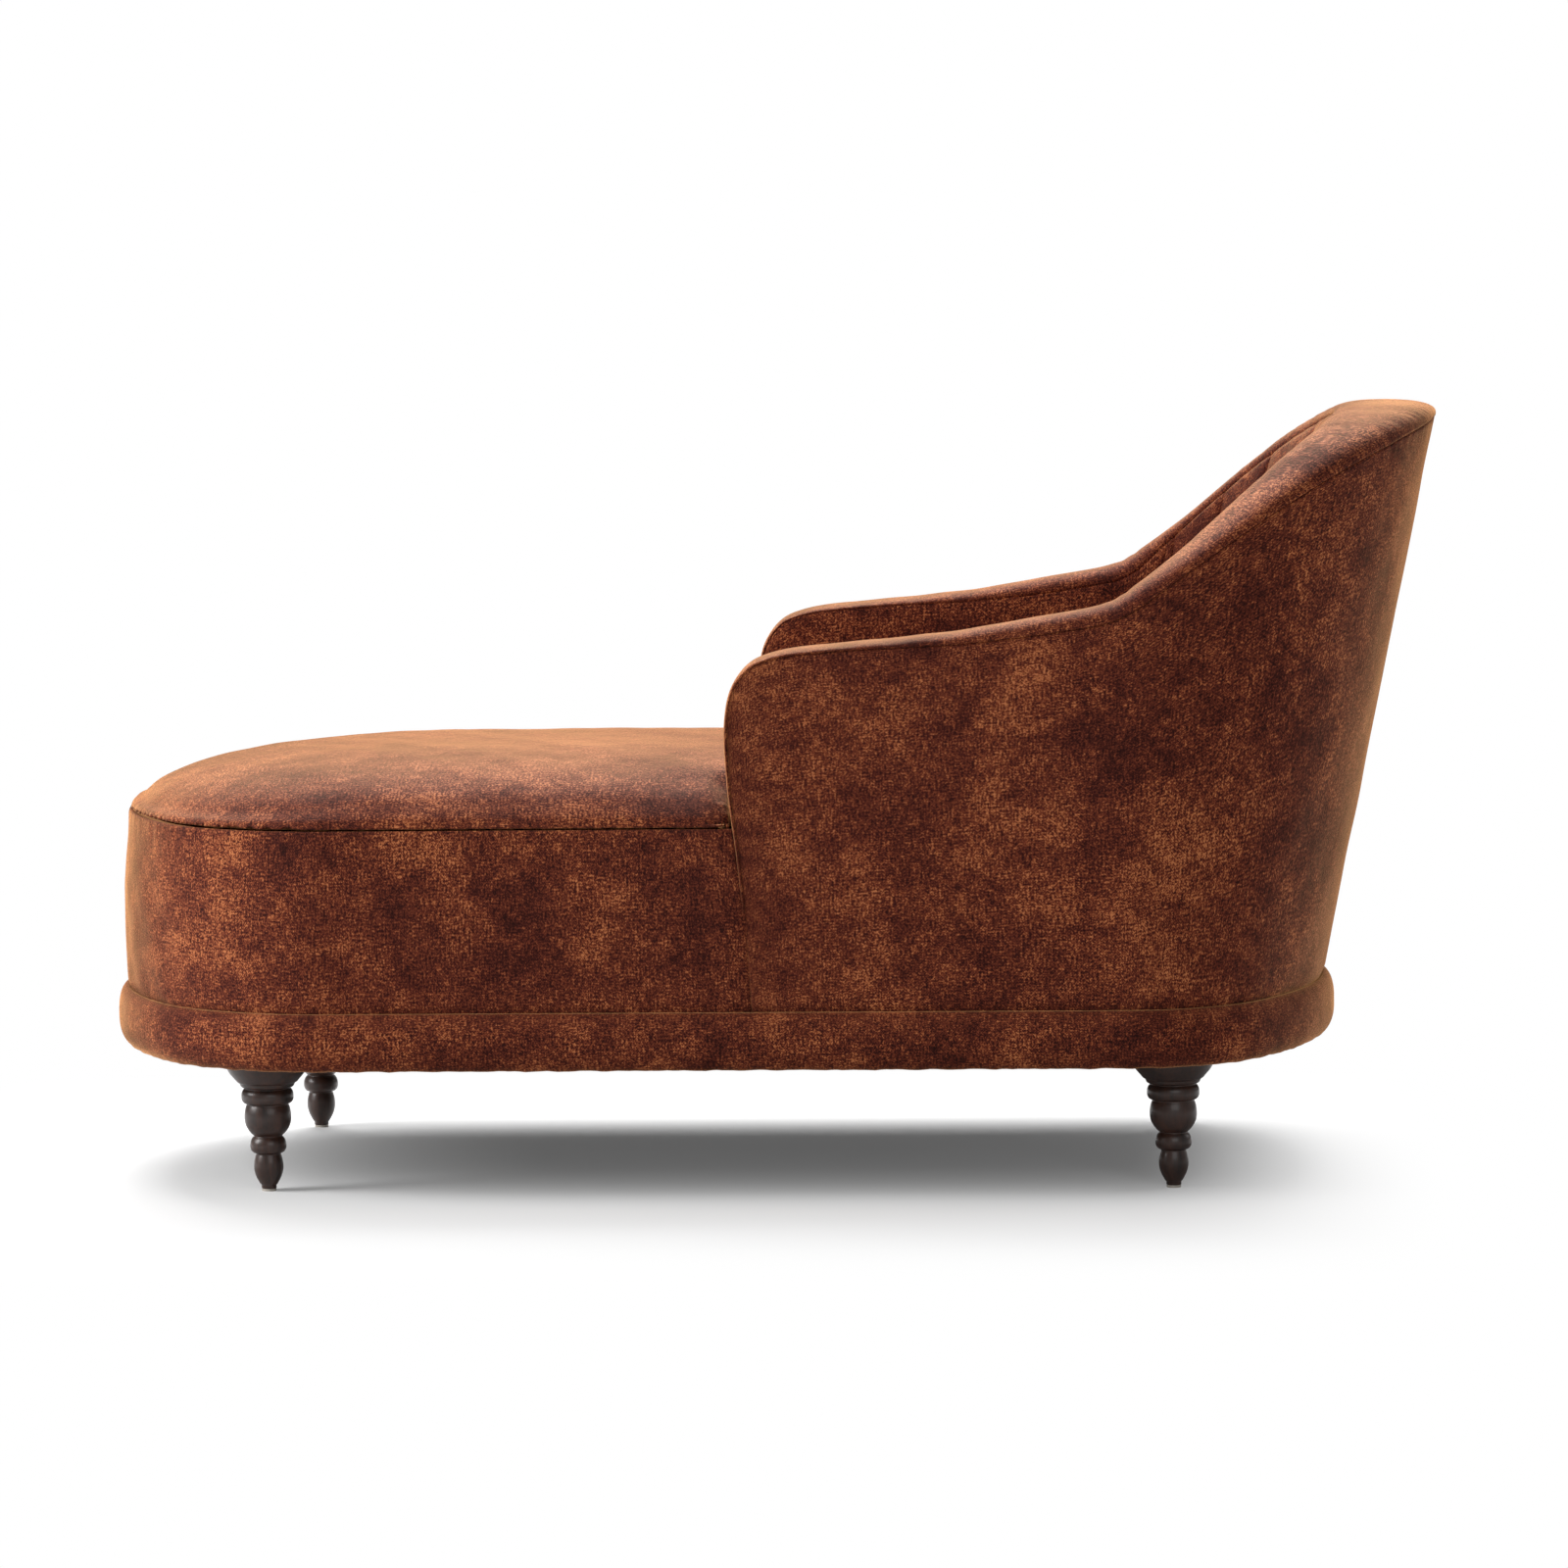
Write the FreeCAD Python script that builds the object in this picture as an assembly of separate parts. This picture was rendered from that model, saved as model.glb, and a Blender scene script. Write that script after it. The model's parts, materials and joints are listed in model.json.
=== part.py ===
import FreeCAD, Part
import math
import os

V = FreeCAD.Vector

# Overall sizes, in millimetres: +X to the back, -X to the foot end, origin on the floor
HALF_WIDTH = 413.0
FOOT_JOIN_X = -536.0
FOOT_REACH = 310.0
BACK_JOIN_X = 450.0
BACK_REACH = 265.0
ARCH_TURN = 60.0
BAND_BOTTOM_Z = 163.0
BAND_TOP_Z = 236.0
BAND_PROUD = 13.0
BACK_LEAN = 11.6

# Clearances and layers of the upholstery, counted inwards from the outer face of a wall
GAP = 0.3
SKIN = 1.5
WADDING = 7.0
BOARD = 3.0
FRAME_WOOD = 27.0
LINING = 2.0
ARM_THICKNESS = 85.0
BACK_THICKNESS = 130.0

# Base
RING_BOTTOM_Z = 166.0
RING_WIDTH = 90.0
RING_THICKNESS = 18.0
DUST_COVER = 1.0
PLANK_WIDTH = 130.0
BLOCK_SIZE = 96.0
BLOCK_HEIGHT = 28.0
MIDDLE_PLANK_X = -60.0
UPRIGHT_SIZE = 38.0
UPRIGHT_INSET = 42.0
UPRIGHT_COLUMNS = (-230.0, 90.0, 400.0)
UPRIGHT_FOOT_TURNS = (0.0, 62.0, 90.0)
UPRIGHT_BACK_TURNS = (75.0,)

# Legs
LEG_FRONT_X = -625.0
LEG_REAR_X = 511.0
LEG_SIDE_Y = 290.0
GLIDE_HEIGHT = 3.0
GLIDE_RADIUS = 9.0
BOLT_RADIUS = 4.0
BOLT_IN_LEG = 40.0
NUT_RADIUS = 5.4
NUT_BARREL = 14.0
NUT_FLANGE_RADIUS = 12.0
NUT_FLANGE = 1.6

# Seat
SEAT_RING_BOTTOM_Z = 330.0
WEB_THICKNESS = 2.5
WEB_WIDTH = 60.0
WEB_PITCH = 92.0
WEB_LONG_ROWS = (-195.0, -65.0, 65.0, 195.0)
INSULATOR = 6.0
TOPPER = 18.0
SEAM_Z = 463.0
CROWN = ((0.0, 0.0), (7.0, 14.0), (24.0, 31.0), (60.0, 49.0), (120.0, 64.0), (200.0, 74.0), (290.0, 79.0))
BORDER_BULGE = ((236.0, 0.0), (290.0, -2.5), (400.0, -1.0), (463.0, 6.0))

# Arms, back and the padded rim on them: the rim's outer seam as seen from the side
ARM_FOOT = (-8.0, 236.0)
ARM_FRONT = ((-15.0, 353.0), (-22.0, 430.0), (-32.0, 510.0), (-35.0, 595.0))
ARM_CORNER = ((-26.0, 636.0), (-6.0, 662.0))
ARM_TOP = ((22.0, 674.0), (98.0, 683.0), (255.0, 691.5), (381.0, 706.0))
WING = ((0.0, 722.0), (15.0, 783.0), (30.0, 846.0), (45.0, 895.0), (60.0, 925.0), (75.0, 944.0), (90.0, 952.0))
RIM_FRONT_CROWN = 4.5
RIM_ARM_CROWN = (4.5, 5.5, 13.0, 20.0)
RIM_WING_CROWN = (22.0, 18.0, 20.0, 25.0, 26.0, 22.0, 18.0)
RIM_REST = 0.6
RIM_CURVE = (((0.0, 0.0), (0.07, 0.62), (0.25, 0.93)), ((0.25, 0.93), (0.5, 1.0), (0.75, 0.93)),
             ((0.75, 0.93), (0.93, 0.62), (1.0, 0.0)))
RIM_STEPS = 30
TURN_RUN = 6.2
PAD_BOTTOM_Z = 353.0
PAD_SEAM_X = 490.0
CHANNEL_PITCH = 18.0
CHANNEL_DEPTH = 7.0
RIB = 18.0
RIB_TURNS = (0.0, 30.0, 60.0, 90.0)
POST_DEPTH = 60.0
ARM_RAIL_DEPTH = 50.0
BACK_RAIL_Z = (590.0, 870.0)
BACK_RAIL_HEIGHT = 36.0
BACK_STRAP_Z = (410.0, 500.0, 660.0, 750.0)
BACK_STRAP = 50.0

# Screws that hold the seat ring on its uprights
SCREW_RADIUS = 2.2
SCREW_HEAD_RADIUS = 4.6
SCREW_HEAD = 3.0
SCREW_LENGTH = 60.0

# Worked out from the sizes above
TURN = math.radians(ARCH_TURN)
LEAN = math.tan(math.radians(BACK_LEAN))
TURN_RATIO = (1.0 - math.sin(TURN)) / math.cos(TURN)
BIG = 2000.0
LOW_Z = -50.0
WADDING_IN = SKIN + GAP
BOARD_IN = WADDING_IN + WADDING + GAP
FRAME_IN = BOARD_IN + BOARD + GAP
LINING_IN = FRAME_IN + FRAME_WOOD + GAP
PAD_IN = LINING_IN + LINING + GAP
LEG_TOP_Z = RING_BOTTOM_Z - DUST_COVER
RING_TOP_Z = RING_BOTTOM_Z + RING_THICKNESS
SEAT_RING_TOP_Z = SEAT_RING_BOTTOM_Z + RING_THICKNESS
WEB_TOP_Z = SEAT_RING_TOP_Z + 2.0 * WEB_THICKNESS
FOAM_BOTTOM_Z = WEB_TOP_Z + INSULATOR
LEGS = (("front_left", LEG_FRONT_X, -LEG_SIDE_Y), ("front_right", LEG_FRONT_X, LEG_SIDE_Y),
        ("rear_left", LEG_REAR_X, -LEG_SIDE_Y), ("rear_right", LEG_REAR_X, LEG_SIDE_Y))


# Plan outlines: each end is a three-centred arch, a corner arc, a nose arc and a corner arc
def arch_radii(half_width, reach):
    corner = (reach - half_width * TURN_RATIO) / (1.0 - TURN_RATIO)
    nose = corner + (half_width - corner) / math.cos(TURN)
    return corner, nose


def arch_point(join_x, half_width, reach, way, turn, side, z):
    corner, nose = arch_radii(half_width, reach)
    angle = math.radians(turn)
    if turn <= ARCH_TURN:
        out = corner * math.sin(angle)
        across = half_width - corner + corner * math.cos(angle)
    else:
        out = reach - nose + nose * math.sin(angle)
        across = nose * math.cos(angle)
    return V(join_x + way * out, side * across, z)


def arch_edges(join_x, half_width, reach, way, side, z):
    def at(turn, flank):
        return arch_point(join_x, half_width, reach, way, turn, flank, z)
    half = ARCH_TURN / 2.0
    return [Part.Arc(at(0.0, side), at(half, side), at(ARCH_TURN, side)).toShape(),
            Part.Arc(at(ARCH_TURN, side), at(90.0, side), at(ARCH_TURN, -side)).toShape(),
            Part.Arc(at(ARCH_TURN, -side), at(half, -side), at(0.0, -side)).toShape()]


def back_sizes(z, side_inset, back_inset):
    half_width = HALF_WIDTH - BAND_PROUD - side_inset
    reach = BACK_REACH - BAND_PROUD - back_inset + (z - BAND_TOP_Z) * LEAN
    return half_width, reach


def closed_outline(z, inset, shrink=0.0):
    half_width = HALF_WIDTH - inset
    kept = (half_width - shrink) / half_width
    back = arch_edges(BACK_JOIN_X, half_width * kept, (BACK_REACH - inset) * kept, 1.0, -1.0, z)
    foot = arch_edges(FOOT_JOIN_X, half_width * kept, (FOOT_REACH - inset) * kept, -1.0, 1.0, z)
    half_width = half_width * kept
    near = Part.makeLine(V(FOOT_JOIN_X, -half_width, z), V(BACK_JOIN_X, -half_width, z))
    far = Part.makeLine(V(BACK_JOIN_X, half_width, z), V(FOOT_JOIN_X, half_width, z))
    return Part.Wire([near] + back + [far] + foot)


def back_outline(z, side_inset, back_inset, front_x):
    half_width, reach = back_sizes(z, side_inset, back_inset)
    near = Part.makeLine(V(front_x, -half_width, z), V(BACK_JOIN_X, -half_width, z))
    back = arch_edges(BACK_JOIN_X, half_width, reach, 1.0, -1.0, z)
    far = Part.makeLine(V(BACK_JOIN_X, half_width, z), V(front_x, half_width, z))
    front = Part.makeLine(V(front_x, half_width, z), V(front_x, -half_width, z))
    return Part.Wire([near] + back + [far, front])


# General solids
def plate(wire, thickness):
    return Part.Face(wire).extrude(V(0.0, 0.0, thickness))


def closed_ring(z, thickness, outer_inset, inner_inset):
    return plate(closed_outline(z, outer_inset), thickness).cut(plate(closed_outline(z, inner_inset), thickness))


def leaning_block(z0, z1, side_inset, back_inset, front_x):
    wires = [back_outline(z, side_inset, back_inset, front_x) for z in (z0, z1)]
    return Part.makeLoft(wires, True, True)


def box_between(x0, x1, y0, y1, z0, z1):
    return Part.makeBox(x1 - x0, y1 - y0, z1 - z0, V(x0, y0, z0))


def slab(z0, z1):
    return box_between(-BIG, BIG, -BIG, BIG, z0, z1)


def spline(points):
    curve = Part.BSplineCurve()
    curve.interpolate(points)
    return curve.toShape()


def rod(x, y, z, radius, height):
    return Part.makeCylinder(radius, height, V(x, y, z))


def single(shape):
    solids = shape.Solids
    return solids[0] if len(solids) == 1 else Part.makeCompound(solids)


# The rim's outer seam: stations along it, from the near arm's foot to the middle of the back
def wall_thickness(turn):
    rise = (BACK_THICKNESS - ARM_THICKNESS * TURN_RATIO) / (1.0 - TURN_RATIO)
    angle = math.radians(turn)
    if turn <= ARCH_TURN:
        return rise + (ARM_THICKNESS - rise) * math.cos(angle)
    nose = rise + (ARM_THICKNESS - rise) / math.cos(TURN)
    return nose + (BACK_THICKNESS - nose) * math.sin(angle)


def wall_point(turn, z, side_inset=0.0, back_inset=0.0):
    half_width, reach = back_sizes(z, side_inset, back_inset)
    return arch_point(BACK_JOIN_X, half_width, reach, 1.0, turn, -1.0, z)


def rim_line():
    points = []
    for x, z in ARM_FRONT + ARM_CORNER:
        points.append(V(x, RIM_FRONT_CROWN, z))
    for (x, z), crown in zip(ARM_TOP, RIM_ARM_CROWN):
        points.append(V(x, crown, z))
    for (turn, z), crown in zip(WING, RIM_WING_CROWN):
        points.append(V(BACK_JOIN_X + turn * TURN_RUN, crown, z))
    curve = Part.BSplineCurve()
    curve.interpolate(points)
    return curve


def rim_place(point, side_inset=0.0, back_inset=0.0):
    turn = max(0.0, (point.x - BACK_JOIN_X) / TURN_RUN)
    place = wall_point(turn, point.z, side_inset, back_inset)
    if turn == 0.0:
        place.x = point.x
    return turn, place


def rim_stations():
    curve = rim_line()
    first, last = curve.FirstParameter, curve.LastParameter
    return [curve.value(first + (last - first) * index / RIM_STEPS) for index in range(RIM_STEPS + 1)]


def mirrored(point):
    return V(point.x, -point.y, point.z)


def rim_frames():
    stations = rim_stations()
    places = [rim_place(station) for station in stations]
    points = [place for turn, place in places]
    ahead = points[1:] + [mirrored(points[-2])]
    behind = [points[0] - V(0.0, 0.0, 100.0)] + points[:-1]
    frames = []
    for station, (turn, seam), before, after in zip(stations, places, behind, ahead):
        angle = math.radians(turn)
        outward = V(math.sin(angle), -math.cos(angle), 0.0)
        along = (after - before).normalize()
        up = outward.cross(along).normalize()
        frames.append((seam, outward * -1.0, up, wall_thickness(turn), station.y))
    return frames


def rim_arcs(frame, trim, drop):
    seam, inward, up, thickness, crown = frame
    height = crown - drop
    width = thickness - 2.0 * trim

    def at(across, rise):
        return seam + inward * (trim + across * width) + up * (RIM_REST + rise * (height - RIM_REST))
    arcs = []
    for first, middle, last in RIM_CURVE:
        arcs.append(Part.Arc(at(*first), at(*middle), at(*last)).toShape())
    return arcs, at(0.0, 0.0), at(1.0, 0.0)


def rim_foam_section(frame):
    arcs, near, far = rim_arcs(frame, SKIN + GAP, SKIN + GAP)
    return Part.Wire(arcs + [Part.makeLine(far, near)])


def rim_cover_section(frame):
    outer, near, far = rim_arcs(frame, 0.0, 0.0)
    inner, inner_near, inner_far = rim_arcs(frame, SKIN, SKIN)
    ends = [Part.makeLine(far, inner_far), Part.makeLine(inner_near, near)]
    return Part.Wire(outer + [ends[0]] + list(reversed(inner)) + [ends[1]])


def mirror_frame(frame):
    seam, inward, up, thickness, crown = frame
    return mirrored(seam), mirrored(inward), mirrored(up), thickness, crown


def rim_loft(section):
    frames = rim_frames()
    frames = frames + [mirror_frame(frame) for frame in reversed(frames[:-1])]
    return Part.makeLoft([section(frame) for frame in frames], True, True)


def rim_foam():
    return rim_loft(rim_foam_section)


def rim_cover():
    return rim_loft(rim_cover_section)


# Everything under the rim: the side view of the arms, then one upright section after another round the back
def side_block(behind, below, last):
    edge = []
    for station in rim_stations()[:last + 1]:
        steep = station.z < ARM_CORNER[-1][1]
        edge.append(V(station.x + (behind if steep else 0.0), -BIG, station.z - (0.0 if steep else below)))
    foot = V(ARM_FOOT[0] + behind, -BIG, ARM_FOOT[1])
    corners = [V(edge[-1].x, -BIG, LOW_Z), V(foot.x, -BIG, LOW_Z), foot]
    outline = Part.makePolygon(edge + corners + [edge[0]])
    return Part.Face(outline).extrude(V(0.0, 2.0 * BIG, 0.0))


def upright_section(seam, inward, below):
    outer = seam - inward * 40.0 - V(0.0, 0.0, below)
    inner = seam + inward * 290.0 - V(0.0, 0.0, below)
    low = [V(inner.x, inner.y, LOW_Z), V(outer.x, outer.y, LOW_Z)]
    return Part.makePolygon([outer, inner] + low + [outer])


def under_rim(behind, below):
    places = [rim_place(station) for station in rim_stations()]
    last = max(index for index, (turn, place) in enumerate(places) if turn == 0.0)
    sections = []
    for turn, seam in places[last:]:
        angle = math.radians(turn)
        sections.append((seam, V(-math.sin(angle), math.cos(angle), 0.0)))
    sections = sections + [(mirrored(seam), mirrored(inward)) for seam, inward in reversed(sections[:-1])]
    back = Part.makeLoft([upright_section(seam, inward, below) for seam, inward in sections], True, True)
    return side_block(behind, below, last).fuse(back)


def wall_layer(z0, outer, inner, block):
    front_x = ARM_FRONT[3][0] - 50.0
    top_z = WING[-1][1] + 50.0
    whole = leaning_block(z0, top_z, outer[0], outer[1], front_x)
    hollow = leaning_block(z0, top_z, inner[0], inner[1], front_x - 10.0)
    return whole.cut(hollow).common(block)


def same(inset):
    return inset, inset


def outside_cover():
    return wall_layer(BAND_TOP_Z, same(0.0), same(SKIN), under_rim(0.0, 0.0))


def outside_wadding():
    block = under_rim(0.0, 0.0)
    return wall_layer(BAND_TOP_Z, same(WADDING_IN), same(WADDING_IN + WADDING), block)


def outside_board():
    block = under_rim(0.0, 0.0)
    return wall_layer(RING_TOP_Z, same(BOARD_IN), same(BOARD_IN + BOARD), block)


# Inside pads and their covers, with upright channels in the back
def channel_turns():
    count = int(90.0 / CHANNEL_PITCH)
    return [index * CHANNEL_PITCH for index in range(count + 1)]


def channel_points(z, grow):
    side_inset = ARM_THICKNESS + grow
    back_inset = BACK_THICKNESS + grow
    half_width, reach = back_sizes(z, side_inset, back_inset)
    turns = channel_turns()
    near = [arch_point(BACK_JOIN_X, half_width, reach, 1.0, turn, -1.0, z) for turn in turns]
    middles = []
    for low, high in zip(turns, turns[1:]):
        turn = (low + high) / 2.0
        angle = math.radians(turn)
        point = arch_point(BACK_JOIN_X, half_width, reach, 1.0, turn, -1.0, z)
        middles.append(point + V(-math.sin(angle), math.cos(angle), 0.0) * CHANNEL_DEPTH)
    return near, middles


def channel_outline(z, grow, front_x):
    near, middles = channel_points(z, grow)
    arcs = [Part.Arc(a, m, b).toShape() for a, m, b in zip(near, middles, near[1:])]
    far = [Part.Arc(mirrored(b), mirrored(m), mirrored(a)).toShape() for a, m, b in zip(near, middles, near[1:])]
    start = V(front_x, near[0].y, z)
    lead = Part.makeLine(start, near[0])
    tail = Part.makeLine(mirrored(near[0]), mirrored(start))
    front = Part.makeLine(mirrored(start), start)
    return Part.Wire([lead] + arcs + list(reversed(far)) + [tail, front])


def channel_block(grow):
    front_x = PAD_SEAM_X - 200.0
    top_z = WING[-1][1] + 50.0
    return Part.makeLoft([channel_outline(z, grow, front_x) for z in (PAD_BOTTOM_Z - 50.0, top_z)], True, True)


def inside_zone(grow):
    outer = leaning_block(PAD_BOTTOM_Z, WING[-1][1] + 50.0, PAD_IN, PAD_IN, -90.0)
    inner = leaning_block(PAD_BOTTOM_Z - 1.0, WING[-1][1] + 51.0, ARM_THICKNESS + grow, BACK_THICKNESS + grow, -100.0)
    block = under_rim(0.0, 0.0)
    return outer, inner, block


def arm_region(side):
    y0, y1 = (-BIG, 0.0) if side < 0 else (0.0, BIG)
    return box_between(-BIG, PAD_SEAM_X - GAP, y0, y1, PAD_BOTTOM_Z, BIG)


def back_region():
    return box_between(PAD_SEAM_X, BIG, -BIG, BIG, PAD_BOTTOM_Z, BIG)


def arm_pad(side):
    outer, inner, block = inside_zone(-SKIN - GAP)
    return outer.cut(inner).common(block).common(arm_region(side))


def arm_cover(side):
    outer = leaning_block(PAD_BOTTOM_Z, WING[-1][1] + 50.0, ARM_THICKNESS - SKIN, BACK_THICKNESS - SKIN, -90.0)
    inner = inside_zone(0.0)[1]
    block = inside_zone(0.0)[2]
    return outer.cut(inner).common(block).common(arm_region(side))


def back_pad():
    outer, inner, block = inside_zone(0.0)
    return outer.cut(channel_block(-SKIN - GAP)).common(block).common(back_region())


def back_cover():
    block = inside_zone(0.0)[2]
    return channel_block(-SKIN).cut(channel_block(0.0)).common(block).common(back_region())


# Frame of the arms and the back
def frame_zone(z0):
    block = under_rim(1.0, 1.0)
    return wall_layer(z0, same(FRAME_IN), same(FRAME_IN + FRAME_WOOD), block)


def flank(side):
    return box_between(-BIG, BIG, -BIG, 0.0, -BIG, BIG) if side < 0 else box_between(-BIG, BIG, 0.0, BIG, -BIG, BIG)


def arm_post(side, zone):
    back_x = ARM_FRONT[3][0] + POST_DEPTH
    return zone.common(box_between(-BIG, back_x, -BIG, BIG, SEAT_RING_TOP_Z, BIG)).common(flank(side))


def arm_rail(side, zone):
    front_x = ARM_FRONT[3][0] + POST_DEPTH
    lower = under_rim(1.0, ARM_RAIL_DEPTH)
    rail = zone.cut(lower).common(flank(side))
    return rail.common(box_between(front_x, BACK_JOIN_X - RIB, -BIG, BIG, SEAT_RING_TOP_Z, BIG))


def rib_slab(turn, side):
    angle = math.radians(turn)
    base = wall_point(turn, SEAT_RING_TOP_Z)
    block = box_between(-RIB, 0.0, -260.0, 260.0, SEAT_RING_TOP_Z, BIG)
    if turn == 90.0:
        block = box_between(-RIB / 2.0, RIB / 2.0, -260.0, 260.0, SEAT_RING_TOP_Z, BIG)
    block.rotate(V(0.0, 0.0, 0.0), V(0.0, 0.0, 1.0), turn)
    block.translate(V(base.x, base.y, 0.0))
    return block if side < 0 else block.mirror(V(0.0, 0.0, 0.0), V(0.0, 1.0, 0.0))


def back_ribs(zone):
    ribs = []
    for turn in RIB_TURNS:
        for side in ((-1, 1) if turn < 90.0 else (-1,)):
            ribs.extend(zone.common(rib_slab(turn, side)).Solids)
    return Part.makeCompound(ribs)


def back_rail(zone, z, ribs):
    rail = zone.common(box_between(BACK_JOIN_X, BIG, -BIG, BIG, z, z + BACK_RAIL_HEIGHT))
    return cut_all(rail, ribs.Solids)


def arm_lining(side):
    block = under_rim(1.0, 1.0)
    sheet = wall_layer(SEAT_RING_TOP_Z, same(LINING_IN), same(LINING_IN + LINING), block)
    return sheet.common(flank(side)).common(box_between(-BIG, BACK_JOIN_X, -BIG, BIG, SEAT_RING_TOP_Z, BIG))


def back_webbing():
    block = under_rim(1.0, 1.0)
    sheet = wall_layer(SEAT_RING_TOP_Z, same(LINING_IN), same(LINING_IN + LINING), block)
    straps = []
    for z in BACK_STRAP_Z:
        straps.extend(sheet.common(box_between(BACK_JOIN_X + GAP, BIG, -BIG, BIG, z, z + BACK_STRAP)).Solids)
    return Part.makeCompound(straps)


# Base frame, seat frame and what fastens them
def ring_parts(z):
    ring = closed_ring(z, RING_THICKNESS, BAND_PROUD + FRAME_IN, BAND_PROUD + FRAME_IN + RING_WIDTH)
    foot = ring.common(box_between(-BIG, FOOT_JOIN_X, -BIG, BIG, z, z + RING_THICKNESS))
    back = ring.common(box_between(BACK_JOIN_X, BIG, -BIG, BIG, z, z + RING_THICKNESS))
    middle = ring.common(box_between(FOOT_JOIN_X, BACK_JOIN_X, -BIG, BIG, z, z + RING_THICKNESS))
    return foot, back, middle.common(flank(-1)), middle.common(flank(1))


def base_plank(x):
    inner = plate(closed_outline(RING_BOTTOM_Z, BAND_PROUD + FRAME_IN + RING_WIDTH), RING_THICKNESS)
    half = PLANK_WIDTH / 2.0
    return inner.common(box_between(x - half, x + half, -BIG, BIG, RING_BOTTOM_Z, RING_TOP_Z))


def bolt_holes(radius, z0, z1):
    return [rod(x, y, z0, radius, z1 - z0) for name, x, y in LEGS]


def cut_all(shape, tools):
    for tool in tools:
        shape = shape.cut(tool)
    return shape


def leg_blocks():
    half = BLOCK_SIZE / 2.0
    top = RING_TOP_Z + BLOCK_HEIGHT
    blocks = []
    for name, x, y in LEGS:
        block = box_between(x - half, x + half, y - half, y + half, RING_TOP_Z, top)
        block = block.cut(rod(x, y, RING_TOP_Z, BOLT_RADIUS, BLOCK_HEIGHT))
        blocks.append(block.cut(rod(x, y, top - NUT_BARREL, NUT_RADIUS, NUT_BARREL)))
    return Part.makeCompound(blocks)


def tee_nuts():
    top = RING_TOP_Z + BLOCK_HEIGHT
    nuts = []
    for name, x, y in LEGS:
        barrel = rod(x, y, top - NUT_BARREL, NUT_RADIUS, NUT_BARREL)
        nut = barrel.fuse(rod(x, y, top, NUT_FLANGE_RADIUS, NUT_FLANGE)).removeSplitter()
        nuts.append(nut.cut(rod(x, y, top - NUT_BARREL, BOLT_RADIUS, NUT_BARREL + NUT_FLANGE)))
    return Part.makeCompound(nuts)


def hanger_bolts():
    z0 = LEG_TOP_Z - BOLT_IN_LEG
    top = RING_TOP_Z + BLOCK_HEIGHT + NUT_FLANGE
    return Part.makeCompound([rod(x, y, z0, BOLT_RADIUS, top - z0) for name, x, y in LEGS])


def dust_cover():
    sheet = plate(closed_outline(LEG_TOP_Z, BAND_PROUD + FRAME_IN), DUST_COVER)
    return cut_all(sheet, bolt_holes(BOLT_RADIUS, LEG_TOP_Z, RING_BOTTOM_Z))


def upright_places():
    inset = BAND_PROUD + UPRIGHT_INSET
    half_width = HALF_WIDTH - inset
    places = []
    for side in (-1.0, 1.0):
        for x in UPRIGHT_COLUMNS:
            places.append((V(x, side * half_width, 0.0), 0.0))
        for turn in UPRIGHT_FOOT_TURNS:
            if turn < 90.0 or side < 0.0:
                point = arch_point(FOOT_JOIN_X, half_width, FOOT_REACH - inset, -1.0, turn, side, 0.0)
                places.append((point, side * turn))
        for turn in UPRIGHT_BACK_TURNS:
            point = arch_point(BACK_JOIN_X, half_width, BACK_REACH - inset, 1.0, turn, side, 0.0)
            places.append((point, -side * turn))
    return places


def screw_hole(place, radius):
    return rod(place.x, place.y, SEAT_RING_TOP_Z - SCREW_LENGTH, radius, SCREW_LENGTH)


def screw_head(place):
    head = Part.makeCone(SCREW_RADIUS, SCREW_HEAD_RADIUS, SCREW_HEAD)
    head.translate(V(place.x, place.y, SEAT_RING_TOP_Z - SCREW_HEAD))
    return head


def frame_screws():
    return Part.makeCompound([screw_hole(place, SCREW_RADIUS).fuse(screw_head(place)).removeSplitter()
                              for place, turn in upright_places()])


def frame_uprights():
    half = UPRIGHT_SIZE / 2.0
    posts = []
    for place, turn in upright_places():
        post = box_between(-half, half, -half, half, RING_TOP_Z, SEAT_RING_BOTTOM_Z)
        post.rotate(V(0.0, 0.0, 0.0), V(0.0, 0.0, 1.0), turn)
        post.translate(place)
        posts.append(post.cut(screw_hole(place, SCREW_RADIUS)))
    return Part.makeCompound(posts)


def seat_ring_part(part):
    for place, turn in upright_places():
        part = part.cut(screw_hole(place, SCREW_RADIUS)).cut(screw_head(place))
    return part


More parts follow.
